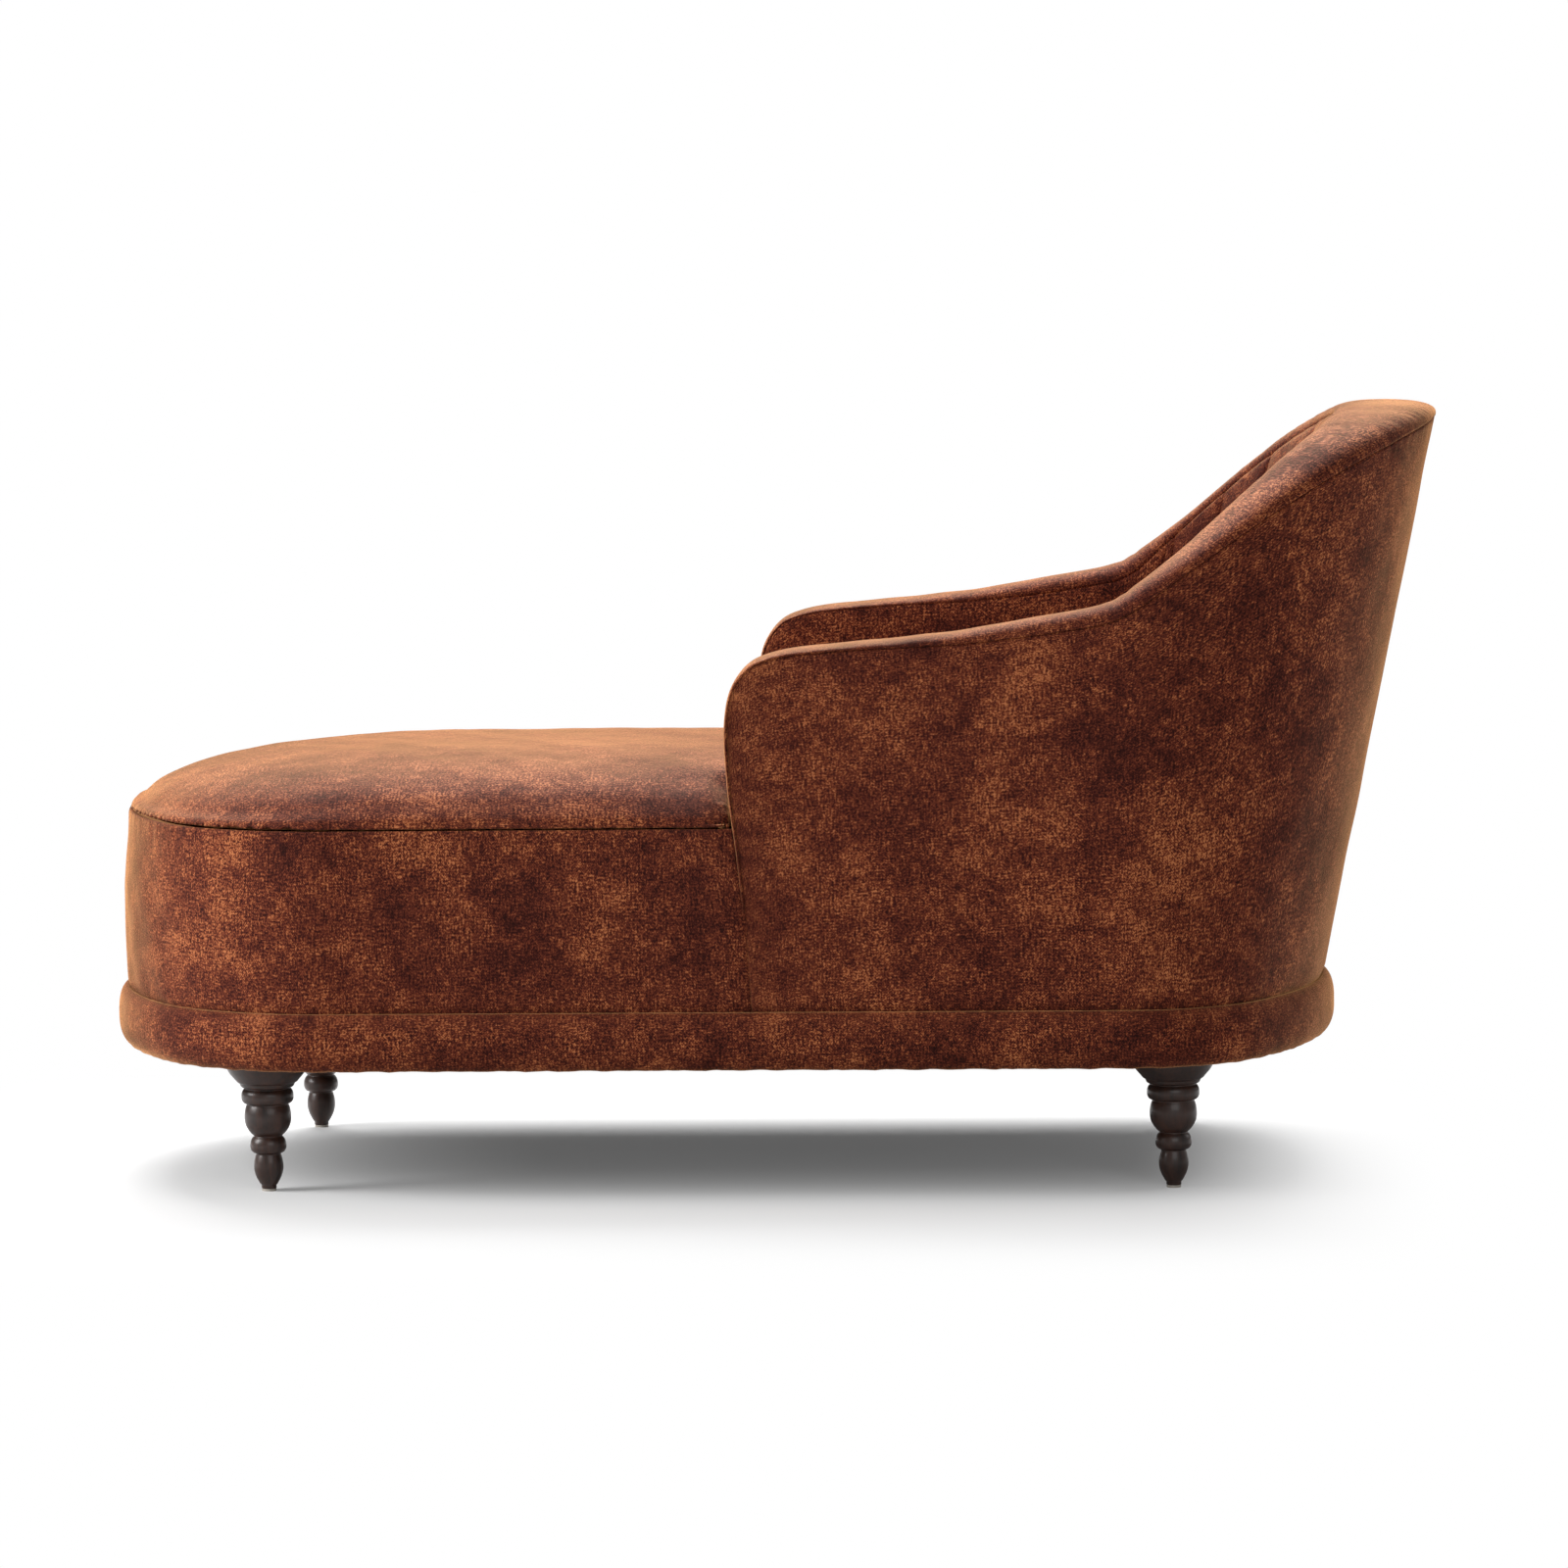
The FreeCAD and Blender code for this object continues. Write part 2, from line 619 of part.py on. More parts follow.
# Legs, turned: (height, radius) of each fillet and swelling from the foot up
def leg_profile():
    def arc(a, b, c):
        return Part.Arc(V(a[1], 0.0, a[0]), V(b[1], 0.0, b[0]), V(c[1], 0.0, c[0])).toShape()
    foot, top = GLIDE_HEIGHT, LEG_TOP_Z
    vase_low, vase_high = (8.0, 10.0), (48.0, 15.6)
    ring_high, ball_high = (70.0, 17.6), (110.5, 26.2)
    collar_high, cup_low = (130.5, 28.4), (135.5, 33.5)
    edges = [Part.makeLine(V(0.0, 0.0, foot), V(GLIDE_RADIUS, 0.0, foot)),
             Part.makeLine(V(GLIDE_RADIUS, 0.0, foot), V(vase_low[1], 0.0, vase_low[0])),
             arc(vase_low, (18.0, 15.2), (31.0, 18.4)),
             arc((31.0, 18.4), (41.0, 17.4), vase_high),
             arc(vase_high, (59.0, 22.6), ring_high),
             arc(ring_high, (83.0, 26.9), (96.0, 29.5)),
             arc((96.0, 29.5), (104.0, 28.8), ball_high),
             arc(ball_high, (120.5, 32.8), collar_high),
             Part.makeLine(V(collar_high[1], 0.0, collar_high[0]), V(cup_low[1], 0.0, cup_low[0])),
             arc(cup_low, (142.8, 41.2), (150.0, 47.5)),
             arc((150.0, 47.5), (157.0, 51.3), (top, 52.5)),
             Part.makeLine(V(52.5, 0.0, top), V(0.0, 0.0, top)),
             Part.makeLine(V(0.0, 0.0, top), V(0.0, 0.0, foot))]
    return Part.Face(Part.Wire(edges))


def leg(x, y):
    turned = leg_profile().revolve(V(0.0, 0.0, 0.0), V(0.0, 0.0, 1.0), 360.0)
    turned.translate(V(x, y, 0.0))
    return turned.cut(rod(x, y, LEG_TOP_Z - BOLT_IN_LEG, BOLT_RADIUS, BOLT_IN_LEG))


def foot_glides():
    return Part.makeCompound([rod(x, y, 0.0, GLIDE_RADIUS, GLIDE_HEIGHT) for name, x, y in LEGS])


# Padded band round the base, swept along the plan outline
def band_section(grow):
    y0 = -HALF_WIDTH
    x = 0.0
    inner = BAND_PROUD + BOARD_IN - GAP
    middle_z = BAND_BOTTOM_Z + 0.56 * (BAND_TOP_Z - BAND_BOTTOM_Z)
    top = V(x, y0 + BAND_PROUD - 3.0 + grow, BAND_TOP_Z - grow)
    low = V(x, y0 + inner, BAND_BOTTOM_Z + grow)
    widest = V(x, y0 + grow, middle_z)
    upper = Part.Arc(top, V(x, y0 + 3.6 + grow, BAND_TOP_Z - 13.0 - grow), widest).toShape()
    lower = Part.Arc(widest, V(x, y0 + 6.4 + grow, BAND_BOTTOM_Z + 15.0 + grow), low).toShape()
    back = V(x, y0 + inner, BAND_TOP_Z - grow)
    return Part.Wire([upper, lower, Part.makeLine(low, back), Part.makeLine(back, top)])


def band_sweep(grow):
    return closed_outline(0.0, 0.0).makePipeShell([band_section(grow)], True, False)


# Everything behind the front edge of the arms
def front_block(behind, z0, z1):
    edge = [V(x + behind, -BIG, z) for x, z in (ARM_FOOT,) + ARM_FRONT]
    edge = [V(edge[0].x, -BIG, LOW_Z)] + edge + [V(edge[-1].x, -BIG, BIG)]
    corners = [V(BIG, -BIG, BIG), V(BIG, -BIG, LOW_Z), edge[0]]
    block = Part.Face(Part.makePolygon(edge + corners)).extrude(V(0.0, 2.0 * BIG, 0.0))
    return block.common(slab(z0, z1))


# Seat: border wall round the foot end, crowned top, foam and webbing
def crown_dome(extra, drop):
    edge = BAND_PROUD + BORDER_BULGE[-1][1] + extra
    wires = [closed_outline(SEAM_Z + rise - drop, edge, shrink) for shrink, rise in CROWN]
    return Part.makeLoft(wires, True, False)


def foot_region():
    return box_between(-BIG, ARM_FOOT[0], -BIG, BIG, -BIG, BIG)


def border_loft(extra):
    wires = [closed_outline(z, BAND_PROUD + bulge + extra) for z, bulge in BORDER_BULGE]
    return Part.makeLoft(wires, True, False)


def seat_region(extra):
    low_z = BAND_TOP_Z - 1.0
    low = leaning_block(low_z, PAD_BOTTOM_Z - 0.5, -30.0, -60.0, -120.0)
    low = low.common(front_block(-GAP, LOW_Z, PAD_BOTTOM_Z - 0.5))
    high = leaning_block(PAD_BOTTOM_Z - 0.5, 600.0, -30.0, -60.0, -120.0)
    high = high.common(front_block(-RIM_FRONT_CROWN - RIM_REST - GAP, PAD_BOTTOM_Z - 0.5, 600.0))
    block = low.fuse(high)
    arms = block.cut(leaning_block(low_z - 1.0, 601.0, ARM_THICKNESS + extra, BACK_THICKNESS + extra, -200.0))
    arms = arms.common(box_between(-BIG, PAD_SEAM_X, -BIG, BIG, LOW_Z, BIG))
    back = block.common(box_between(PAD_SEAM_X, BIG, -BIG, BIG, PAD_BOTTOM_Z - 1.0, BIG))
    return arms.fuse(back.cut(channel_block(extra)))


def seat_border_cover(walls):
    return border_loft(0.0).cut(border_loft(SKIN)).cut(walls).common(foot_region())


def seat_border_wadding(walls):
    ring = border_loft(SKIN + GAP).cut(plate(closed_outline(BAND_TOP_Z - 1.0, BAND_PROUD + BOARD_IN - GAP), 400.0))
    return ring.cut(walls).common(foot_region())


def seat_fascia(walls):
    ring = closed_ring(RING_TOP_Z, SEAT_RING_TOP_Z - RING_TOP_Z, BAND_PROUD + BOARD_IN, BAND_PROUD + BOARD_IN + BOARD)
    return ring.cut(front_block(-1.0, LOW_Z, BIG))


def seat_top_cover(walls):
    above = slab(SEAM_Z + 0.1, BIG)
    return crown_dome(0.0, 0.0).cut(crown_dome(SKIN, SKIN)).common(above).cut(walls)


def seat_topper(walls):
    above = slab(SEAM_Z + 0.1, BIG)
    outer = crown_dome(SKIN + GAP, SKIN + GAP)
    return outer.cut(crown_dome(TOPPER, TOPPER)).common(above).cut(walls)


def seat_foam(walls):
    side = BAND_PROUD + BOARD_IN
    dome = crown_dome(TOPPER + GAP, TOPPER + GAP).common(slab(SEAM_Z + 0.1, BIG))
    lower = plate(closed_outline(FOAM_BOTTOM_Z, side), SEAM_Z + 0.1 - FOAM_BOTTOM_Z)
    return lower.fuse(dome).cut(walls)


def seat_insulator(walls):
    return plate(closed_outline(WEB_TOP_Z, BAND_PROUD + FRAME_IN), INSULATOR).cut(walls)


def web_span(x):
    half_width = HALF_WIDTH - BAND_PROUD - FRAME_IN
    reach = FOOT_REACH - BAND_PROUD - FRAME_IN
    if x < FOOT_JOIN_X:
        corner, nose = arch_radii(half_width, reach)
        out = FOOT_JOIN_X - x
        if out < corner * math.sin(TURN):
            return half_width - corner + math.sqrt(corner * corner - out * out)
        return math.sqrt(nose * nose - (out - reach + nose) ** 2)
    return half_width


def seat_webbing_cross():
    start = FOOT_JOIN_X - FOOT_REACH / 2.0
    limit = BACK_JOIN_X + BACK_REACH / 3.0
    straps = []
    x = start
    while x < limit:
        half = web_span(x - WEB_WIDTH / 2.0) - 12.0
        if x > ARM_FRONT[3][0] - WEB_WIDTH:
            half = HALF_WIDTH - BAND_PROUD - ARM_THICKNESS + 2.0
        straps.append(box_between(x - WEB_WIDTH / 2.0, x + WEB_WIDTH / 2.0, -half, half,
                                  SEAT_RING_TOP_Z, SEAT_RING_TOP_Z + WEB_THICKNESS))
        x += WEB_PITCH
    return Part.makeCompound(straps)


def seat_webbing_long():
    straps = []
    for y in WEB_LONG_ROWS:
        start = FOOT_JOIN_X - FOOT_REACH + 110.0
        end = BACK_JOIN_X + BACK_REACH - BACK_THICKNESS
        straps.append(box_between(start, end, y - WEB_WIDTH / 2.0, y + WEB_WIDTH / 2.0,
                                  SEAT_RING_TOP_Z + WEB_THICKNESS, WEB_TOP_Z))
    return Part.makeCompound(straps)


# Assembly
def build():
    walls = seat_region(GAP)
    nodes = {}
    for name, x, y in LEGS:
        nodes["leg_" + name] = leg(x, y)
    nodes["foot_glides"] = foot_glides()
    nodes["hanger_bolts"] = hanger_bolts()
    nodes["tee_nuts"] = tee_nuts()
    nodes["leg_blocks"] = leg_blocks()
    nodes["dust_cover"] = dust_cover()
    names = ("foot_arch", "back_arch", "rail_left", "rail_right")
    for name, part in zip(names, ring_parts(RING_BOTTOM_Z)):
        nodes["base_" + name] = cut_all(part, bolt_holes(BOLT_RADIUS, RING_BOTTOM_Z, RING_TOP_Z))
    for name, part in zip(names, ring_parts(SEAT_RING_BOTTOM_Z)):
        nodes["seat_" + name] = seat_ring_part(part)
    planks = (("front", LEG_FRONT_X), ("middle", MIDDLE_PLANK_X), ("rear", LEG_REAR_X))
    for name, x in planks:
        nodes["base_plank_" + name] = cut_all(base_plank(x), bolt_holes(BOLT_RADIUS, RING_BOTTOM_Z, RING_TOP_Z))
    nodes["frame_uprights"] = frame_uprights()
    nodes["frame_screws"] = frame_screws()
    nodes["seat_fascia"] = seat_fascia(walls)
    nodes["band_core"] = band_sweep(SKIN + GAP)
    nodes["band_cover"] = band_sweep(0.0).cut(band_sweep(SKIN))
    nodes["seat_webbing_cross"] = seat_webbing_cross()
    nodes["seat_webbing_long"] = seat_webbing_long()
    nodes["seat_insulator"] = seat_insulator(walls)
    nodes["seat_foam"] = seat_foam(walls)
    nodes["seat_topper"] = seat_topper(walls)
    nodes["seat_top_cover"] = seat_top_cover(walls)
    nodes["seat_border_wadding"] = seat_border_wadding(walls)
    nodes["seat_border_cover"] = seat_border_cover(walls)
    nodes["outside_board"] = outside_board()
    nodes["outside_wadding"] = outside_wadding()
    nodes["outside_cover"] = outside_cover()
    zone = frame_zone(SEAT_RING_TOP_Z)
    ribs = back_ribs(zone)
    for side, hand in ((-1, "left"), (1, "right")):
        nodes["arm_post_" + hand] = arm_post(side, zone)
        nodes["arm_rail_" + hand] = arm_rail(side, zone)
        nodes["arm_lining_" + hand] = arm_lining(side)
        nodes["arm_pad_" + hand] = arm_pad(side)
        nodes["arm_cover_" + hand] = arm_cover(side)
    nodes["back_middle_rail"] = back_rail(zone, BACK_RAIL_Z[0], ribs)
    nodes["back_top_rail"] = back_rail(zone, BACK_RAIL_Z[1], ribs)
    nodes["back_ribs"] = ribs
    nodes["back_webbing"] = back_webbing()
    nodes["back_pad"] = back_pad()
    nodes["back_cover"] = back_cover()
    nodes["rim_foam"] = rim_foam()
    nodes["rim_cover"] = rim_cover()
    return nodes


def main():
    os.makedirs("parts", exist_ok=True)
    for name, shape in build().items():
        part = single(shape)
        part.exportStep("parts/" + name + ".step")
        box = part.BoundBox
        print(name, len(part.Solids), part.isValid(), round(part.Volume / 1000.0, 1), "cm3",
              [round(v, 1) for v in (box.XMin, box.XMax, box.YMin, box.YMax, box.ZMin, box.ZMax)])


main()
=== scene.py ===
"""Chaise longue with a wrap-round padded back: its looks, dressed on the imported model.

Lengths in the classes are millimetres, as an upholsterer would write them, and are turned
into metres where a mesh is made. +X runs to the back end, -Y is the side facing the camera.
"""
from __future__ import annotations

import json
import logging
import math
from dataclasses import dataclass, field
from enum import Enum
from typing import Callable, Sequence

import bpy
import numpy as np
from mathutils import Matrix, Vector

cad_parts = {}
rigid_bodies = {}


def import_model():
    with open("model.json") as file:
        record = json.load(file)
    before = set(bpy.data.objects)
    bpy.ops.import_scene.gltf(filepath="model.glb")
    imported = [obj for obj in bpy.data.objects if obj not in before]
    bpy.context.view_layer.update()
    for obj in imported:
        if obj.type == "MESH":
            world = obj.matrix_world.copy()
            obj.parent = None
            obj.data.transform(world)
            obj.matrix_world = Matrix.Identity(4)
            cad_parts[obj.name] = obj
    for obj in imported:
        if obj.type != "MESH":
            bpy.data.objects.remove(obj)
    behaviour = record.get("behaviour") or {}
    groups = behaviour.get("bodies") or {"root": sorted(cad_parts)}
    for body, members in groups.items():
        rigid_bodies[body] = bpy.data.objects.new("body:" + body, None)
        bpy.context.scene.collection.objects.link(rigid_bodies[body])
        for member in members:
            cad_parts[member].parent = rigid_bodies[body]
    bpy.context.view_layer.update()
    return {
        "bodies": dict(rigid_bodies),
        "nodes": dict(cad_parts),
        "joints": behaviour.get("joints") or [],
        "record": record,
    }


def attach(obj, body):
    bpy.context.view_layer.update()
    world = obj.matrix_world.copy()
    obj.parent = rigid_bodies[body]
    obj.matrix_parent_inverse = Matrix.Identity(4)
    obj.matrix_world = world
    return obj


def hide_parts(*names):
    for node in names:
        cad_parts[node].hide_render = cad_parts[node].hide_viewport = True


LOG = logging.getLogger("chaise")
MM = 0.001
BODY = "root"
WHITE = (1.0, 1.0, 1.0)
QUARTER = math.pi / 2.0

Array = np.ndarray
Piece = bpy.types.Object
Colour = tuple[float, float, float]
Rows = tuple[tuple[float, ...], ...]


class Slot(Enum):
    """The record's material slots that the new pieces and the carried-over nodes use."""

    LEG = "turned_wood"
    GLIDE = "glide_plastic"
    STEEL = "zinc_steel"
    FRAME = "frame_wood"
    PLY = "bending_ply"
    DUST = "dust_cloth"
    WEBBING = "webbing"
    FELT = "felt"
    VELVET = "velvet"


# ---------------------------------------------------------------- curves and small maths


def smooth_step(low: float, high: float, value: Array) -> Array:
    """Ease from 0 at low to 1 at high."""
    t = np.clip((value - low) / (high - low), 0.0, 1.0)
    return t * t * (3.0 - 2.0 * t)


def rounded(depth: Array) -> Array:
    """How far a rounded edge draws in, as a share of its radius, for a depth from 0 to 1."""
    return 1.0 - np.sqrt(np.clip(1.0 - depth ** 2, 0.0, 1.0))


def waver(seed: int, *terms: tuple[Array, float]) -> Array:
    """A gentle repeatable unevenness between about -1 and 1.

    Args:
        seed: Chooses one pattern.
        terms: Pairs of a coordinate and the wavelength it wavers at.

    Returns:
        One value per point.
    """
    rng = np.random.default_rng(seed)
    total = 0.0
    for octave in range(5):
        phase = rng.uniform(0.0, 2.0 * math.pi)
        angle = phase
        for coordinate, wavelength in terms:
            stretch = rng.uniform(0.65, 1.45) * (1.0 + 0.45 * octave)
            sign = rng.choice((-1.0, 1.0))
            angle = angle + sign * 2.0 * math.pi * coordinate / wavelength * stretch
        total = total + np.sin(angle) / (1.0 + 0.5 * octave)
    return total / 2.6


def smooth_curve(points: Sequence[Sequence[float]], count: int) -> Array:
    """Evenly spaced points on a smooth curve through the given ones.

    Args:
        points: The points to pass through, with any number of coordinates.
        count: How many points to return.

    Returns:
        An array of count rows.
    """
    def blend(a: Array, b: Array, start: float, end: float) -> Array:
        """Go from a at one knot to b at another."""
        return (end - t) / (end - start) * a + (t - start) / (end - start) * b

    p = np.array(points, float)
    p = np.vstack([2 * p[0] - p[1], p, 2 * p[-1] - p[-2]])
    knots = np.concatenate([[0.0], np.cumsum(np.linalg.norm(np.diff(p, axis=0), axis=1) ** 0.5)])
    dense = []
    for i in range(1, len(p) - 2):
        k0, k1, k2, k3 = knots[i - 1:i + 3]
        t = np.linspace(k1, k2, 60, endpoint=False)[:, None]
        first, middle = blend(p[i - 1], p[i], k0, k1), blend(p[i], p[i + 1], k1, k2)
        last = blend(p[i + 1], p[i + 2], k2, k3)
        dense.append(blend(blend(first, middle, k0, k2), blend(middle, last, k1, k3), k1, k2))
    line = np.vstack([*dense, p[-2][None, :]])
    run = np.concatenate([[0.0], np.cumsum(np.linalg.norm(np.diff(line, axis=0), axis=1))])
    at = np.linspace(0.0, run[-1], count)
    return np.stack([np.interp(at, run, line[:, c]) for c in range(line.shape[1])], axis=1)


@dataclass(frozen=True)
class Plan:
    """The plan view: straight sides and a three-centred arch at each end."""

    half_width: float = 413.0
    foot_join: float = -536.0
    foot_reach: float = 310.0
    back_join: float = 450.0
    back_reach: float = 265.0
    turn: float = math.radians(60.0)
    band_proud: float = 13.0
    lean: float = math.tan(math.radians(11.6))
    lean_from: float = 236.0
    arm_wall: float = 85.0
    back_wall: float = 130.0
    pad_seam: float = 490.0
    pad_seam_height: float = 600.0
    corner_run: float = 314.0
    nose_run: float = 262.0

    @property
    def nose_turn(self) -> float:
        """The turn left for half the nose, in radians."""
        return QUARTER - self.turn

    @property
    def girth(self) -> float:
        """Length of the whole outline."""
        return 2.0 * self.runs().sum()

    @property
    def middle(self) -> float:
        """The run at the middle of the back."""
        return self.back_join + self.corner_run + self.nose_run

    @property
    def seam_turn(self) -> float:
        """The turn, in degrees, where the inside of the arm meets the inside of the back."""
        reach = (self.back_reach - self.band_proud - self.back_wall
                 + (self.pad_seam_height - self.lean_from) * self.lean)
        corner, _ = self.radii(self.half_width - self.band_proud - self.arm_wall, reach)
        return math.degrees(math.asin((self.pad_seam - self.back_join) / corner))

    def radii(self, half_width: Array | float, reach: Array | float) -> tuple[Array, Array]:
        """Corner and nose radius of an arch.

        Args:
            half_width: Half the width at the arch's foot.
            reach: How far its crown stands out.

        Returns:
            The corner's and the nose's radius.
        """
        ratio = (1.0 - math.sin(self.turn)) / math.cos(self.turn)
        corner = (reach - half_width * ratio) / (1.0 - ratio)
        return corner, corner + (half_width - corner) / math.cos(self.turn)

    def arch(self, half_width: Array, reach: Array, angle: Array) -> tuple[Array, Array]:
        """How far out and how far across an arch is at an angle from its side.

        Args:
            half_width: Half the width at the arch's foot.
            reach: How far its crown stands out.
            angle: 0 at the side, a quarter turn at the crown, in radians.

        Returns:
            The distance out and the distance across.
        """
        corner, nose = self.radii(half_width, reach)
        low = angle <= self.turn
        out = np.where(low, corner * np.sin(angle), reach - nose + nose * np.sin(angle))
        across = np.where(low, half_width - corner + corner * np.cos(angle), nose * np.cos(angle))
        return out, across

    def runs(self) -> Array:
        """Lengths of the half outline's five pieces, from the back's middle to the foot's."""
        corner_b, nose_b = self.radii(self.half_width, self.back_reach)
        corner_f, nose_f = self.radii(self.half_width, self.foot_reach)
        return np.array([nose_b * self.nose_turn, corner_b * self.turn, self.back_join - self.foot_join,
                         corner_f * self.turn, nose_f * self.nose_turn])

    def outline(self, t: Array, inset: Array | float) -> tuple[Array, ...]:
        """The closed outline of the base.

        Args:
            t: 0 at the back's middle, 0.5 at the foot's by the near side, 1 at the back again.
            inset: How far inside the outermost outline.

        Returns:
            X and Y, and the outward direction's X and Y.
        """
        side = np.where(t <= 0.5, -1.0, 1.0)
        lengths = self.runs()
        ends = np.cumsum(lengths)
        run = np.where(t <= 0.5, t, 1.0 - t) * 2.0 * ends[-1]
        half_width = self.half_width - inset
        back = np.where(run < ends[0], QUARTER - run / lengths[0] * self.nose_turn,
                        self.turn - (run - ends[0]) / lengths[1] * self.turn)
        foot = np.where(run < ends[3], (run - ends[2]) / lengths[3] * self.turn,
                        self.turn + (run - ends[3]) / lengths[4] * self.nose_turn)
        back, foot = np.clip(back, 0.0, QUARTER), np.clip(foot, 0.0, QUARTER)
        out_b, across_b = self.arch(half_width, self.back_reach - inset, back)
        out_f, across_f = self.arch(half_width, self.foot_reach - inset, foot)
        ranges = [run < ends[1], run > ends[2]]
        x = np.select(ranges, [self.back_join + out_b, self.foot_join - out_f],
                      self.back_join - (run - ends[1]))
        y = np.select(ranges, [across_b, across_f], half_width)
        nx = np.select(ranges, [np.sin(back), -np.sin(foot)], 0.0)
        ny = np.select(ranges, [np.cos(back), np.cos(foot)], 1.0)
        return x, y * side, nx, ny * side

    def wall(self, run: Array, z: Array, side_inset: Array | float,
             back_inset: Array | float) -> tuple[Array, ...]:
        """A point of the wall's near half, and the outward direction there.

        Args:
            run: X along the arm, and beyond the back's join the developed length round it.
            z: Height.
            side_inset: How far inside the outer face on the arms.
            back_inset: The same at the middle of the back.

        Returns:
            X and Y, and the outward direction's X and Y, for the near side.
        """
        angle = self.angle(run)
        half_width = self.half_width - self.band_proud - side_inset
        reach = self.back_reach - self.band_proud - back_inset + (z - self.lean_from) * self.lean
        out, across = self.arch(half_width, reach, angle)
        straight = run <= self.back_join
        x = np.where(straight, run, self.back_join + out)
        y = np.where(straight, half_width, across)
        return x, -y, np.sin(angle), -np.cos(angle)

    def angle(self, run: Array) -> Array:
        """The turn round the back at a run, in radians."""
        past = np.maximum(run - self.back_join, 0.0)
        return np.where(past < self.corner_run, past / self.corner_run * self.turn,
                        self.turn + (past - self.corner_run) / self.nose_run * self.nose_turn)

    def run_at(self, degrees: Array | float) -> Array:
        """The run at a turn round the back, given in degrees."""
        angle = np.radians(degrees)
        return self.back_join + np.where(
            angle <= self.turn, angle / self.turn * self.corner_run,
            self.corner_run + (angle - self.turn) / self.nose_turn * self.nose_run)

    def thickness(self, angle: Array) -> Array:
        """How thick the wall is at a turn in radians, growing from the arms to the back's middle."""
        rise, nose = self.radii(self.arm_wall, self.back_wall)
        return np.where(angle <= self.turn, rise + (self.arm_wall - rise) * np.cos(angle),
                        nose + (self.back_wall - nose) * np.sin(angle))

    def groove(self, z: Array) -> Array:
        """How far the covers are drawn in just above the base band, at a height."""
        return 3.0 * np.clip((247.0 - z) / 11.0, 0.0, 1.0) ** 2


@dataclass(frozen=True)
class RimLine:
    """The seam under the padded rim, from the arm's front edge to the middle of the back.

    Rows of arm hold run, height and the rim's crown. Rows of wing hold the turn in degrees
    instead of the run.
    """

    plan: Plan = field(default_factory=Plan)
    foot: tuple[float, float] = (-8.0, 236.0)
    start: float = -35.0
    front_blend: float = 160.0
    arm: Rows = (
        (-15.0, 353.0, 4.5), (-22.0, 430.0, 4.5), (-32.0, 510.0, 4.5), (-35.0, 595.0, 4.5),
        (-26.0, 636.0, 4.5), (-6.0, 662.0, 4.5), (22.0, 674.0, 4.5), (98.0, 683.0, 5.5),
        (255.0, 691.5, 13.0), (381.0, 706.0, 20.0))
    wing: Rows = (
        (0.0, 720.5, 21.0), (15.0, 779.0, 16.5), (30.0, 840.0, 18.0), (45.0, 889.0, 23.0),
        (60.0, 920.0, 24.5), (75.0, 940.0, 21.5), (90.0, 949.5, 18.0))

    def points(self, count: int) -> Array:
        """Evenly spaced rows of run, height and crown along the seam."""
        wing = [(float(self.plan.run_at(turn)), z, crown) for turn, z, crown in self.wing]
        return smooth_curve([*self.arm, *wing], count)

    def top(self, run: Array) -> Array:
        """The seam's height over a run behind the arm's front edge."""
        line = self.points(600)
        ahead = np.argmin(line[:, 0])
        return np.interp(run, line[ahead:, 0], line[ahead:, 1])

    def inner_top(self, run: Array) -> Array:
        """Height of the rim's inner edge over the inside pads.

        Args:
            run: Runs of the pad's own columns.

        Returns:
            One height per run.
        """
        line = self.points(900)
        line = line[np.argmin(line[:, 0]):]
        x, y, nx, ny = self.plan.wall(line[:, 0], line[:, 1], 0.0, 0.0)
        thick = self.plan.thickness(self.plan.angle(line[:, 0]))
        edge_x, edge_y = x - nx * thick, y - ny * thick
        grid = np.linspace(0.0, self.plan.middle, 200)
        z = self.top(grid)
        for _ in range(5):
            px, py, _, _ = self.plan.wall(grid, z, self.plan.arm_wall, self.plan.back_wall)
            nearest = ((px[:, None] - edge_x) ** 2 + (py[:, None] - edge_y) ** 2).argmin(axis=1)
            z = line[nearest, 1]
        z = np.convolve(np.pad(z, 4, mode="edge"), np.ones(9) / 9.0, mode="valid")
        return np.where(run < 60.0, self.top(run), np.interp(run, grid, z))

    def front(self, z: Array | float) -> Array:
        """X of the arm's front edge at a height."""
        rows = [self.foot, *(row[:2] for row in self.arm[:4])]
        return np.interp(z, [row[1] for row in rows], [row[0] for row in rows])

    def from_front(self, run: Array, z: Array) -> Array:
        """Runs whose first stretch is bent to the arm's front edge at their heights."""
        pull = 1.0 - smooth_step(0.0, self.front_blend, run - self.start)
        return run + (self.front(z) - self.start) * pull


# ---------------------------------------------------------------- mesh making


def deselect() -> None:
    """Leave nothing selected and no piece in edit mode."""
    if bpy.context.object and bpy.context.object.mode != "OBJECT":
        bpy.ops.object.mode_set(mode="OBJECT")
    bpy.ops.object.select_all(action="DESELECT")


def pick(piece: Piece) -> None:
    """Select one piece alone and make it active."""
    deselect()
    piece.select_set(True)
    bpy.context.view_layer.objects.active = piece


def edit_all(piece: Piece) -> None:
    """Open one piece in edit mode with all of it selected."""
    pick(piece)
    bpy.ops.object.mode_set(mode="EDIT")
    bpy.ops.mesh.select_all(action="SELECT")


def named(name: str) -> Piece:
    """Name the piece that was just added."""
    bpy.context.object.name = bpy.context.object.data.name = name
    return bpy.context.object


def dress(piece: Piece, finish: bpy.types.Material) -> None:
    """Give a piece one finish."""
    piece.data.materials.clear()
    piece.data.materials.append(finish)


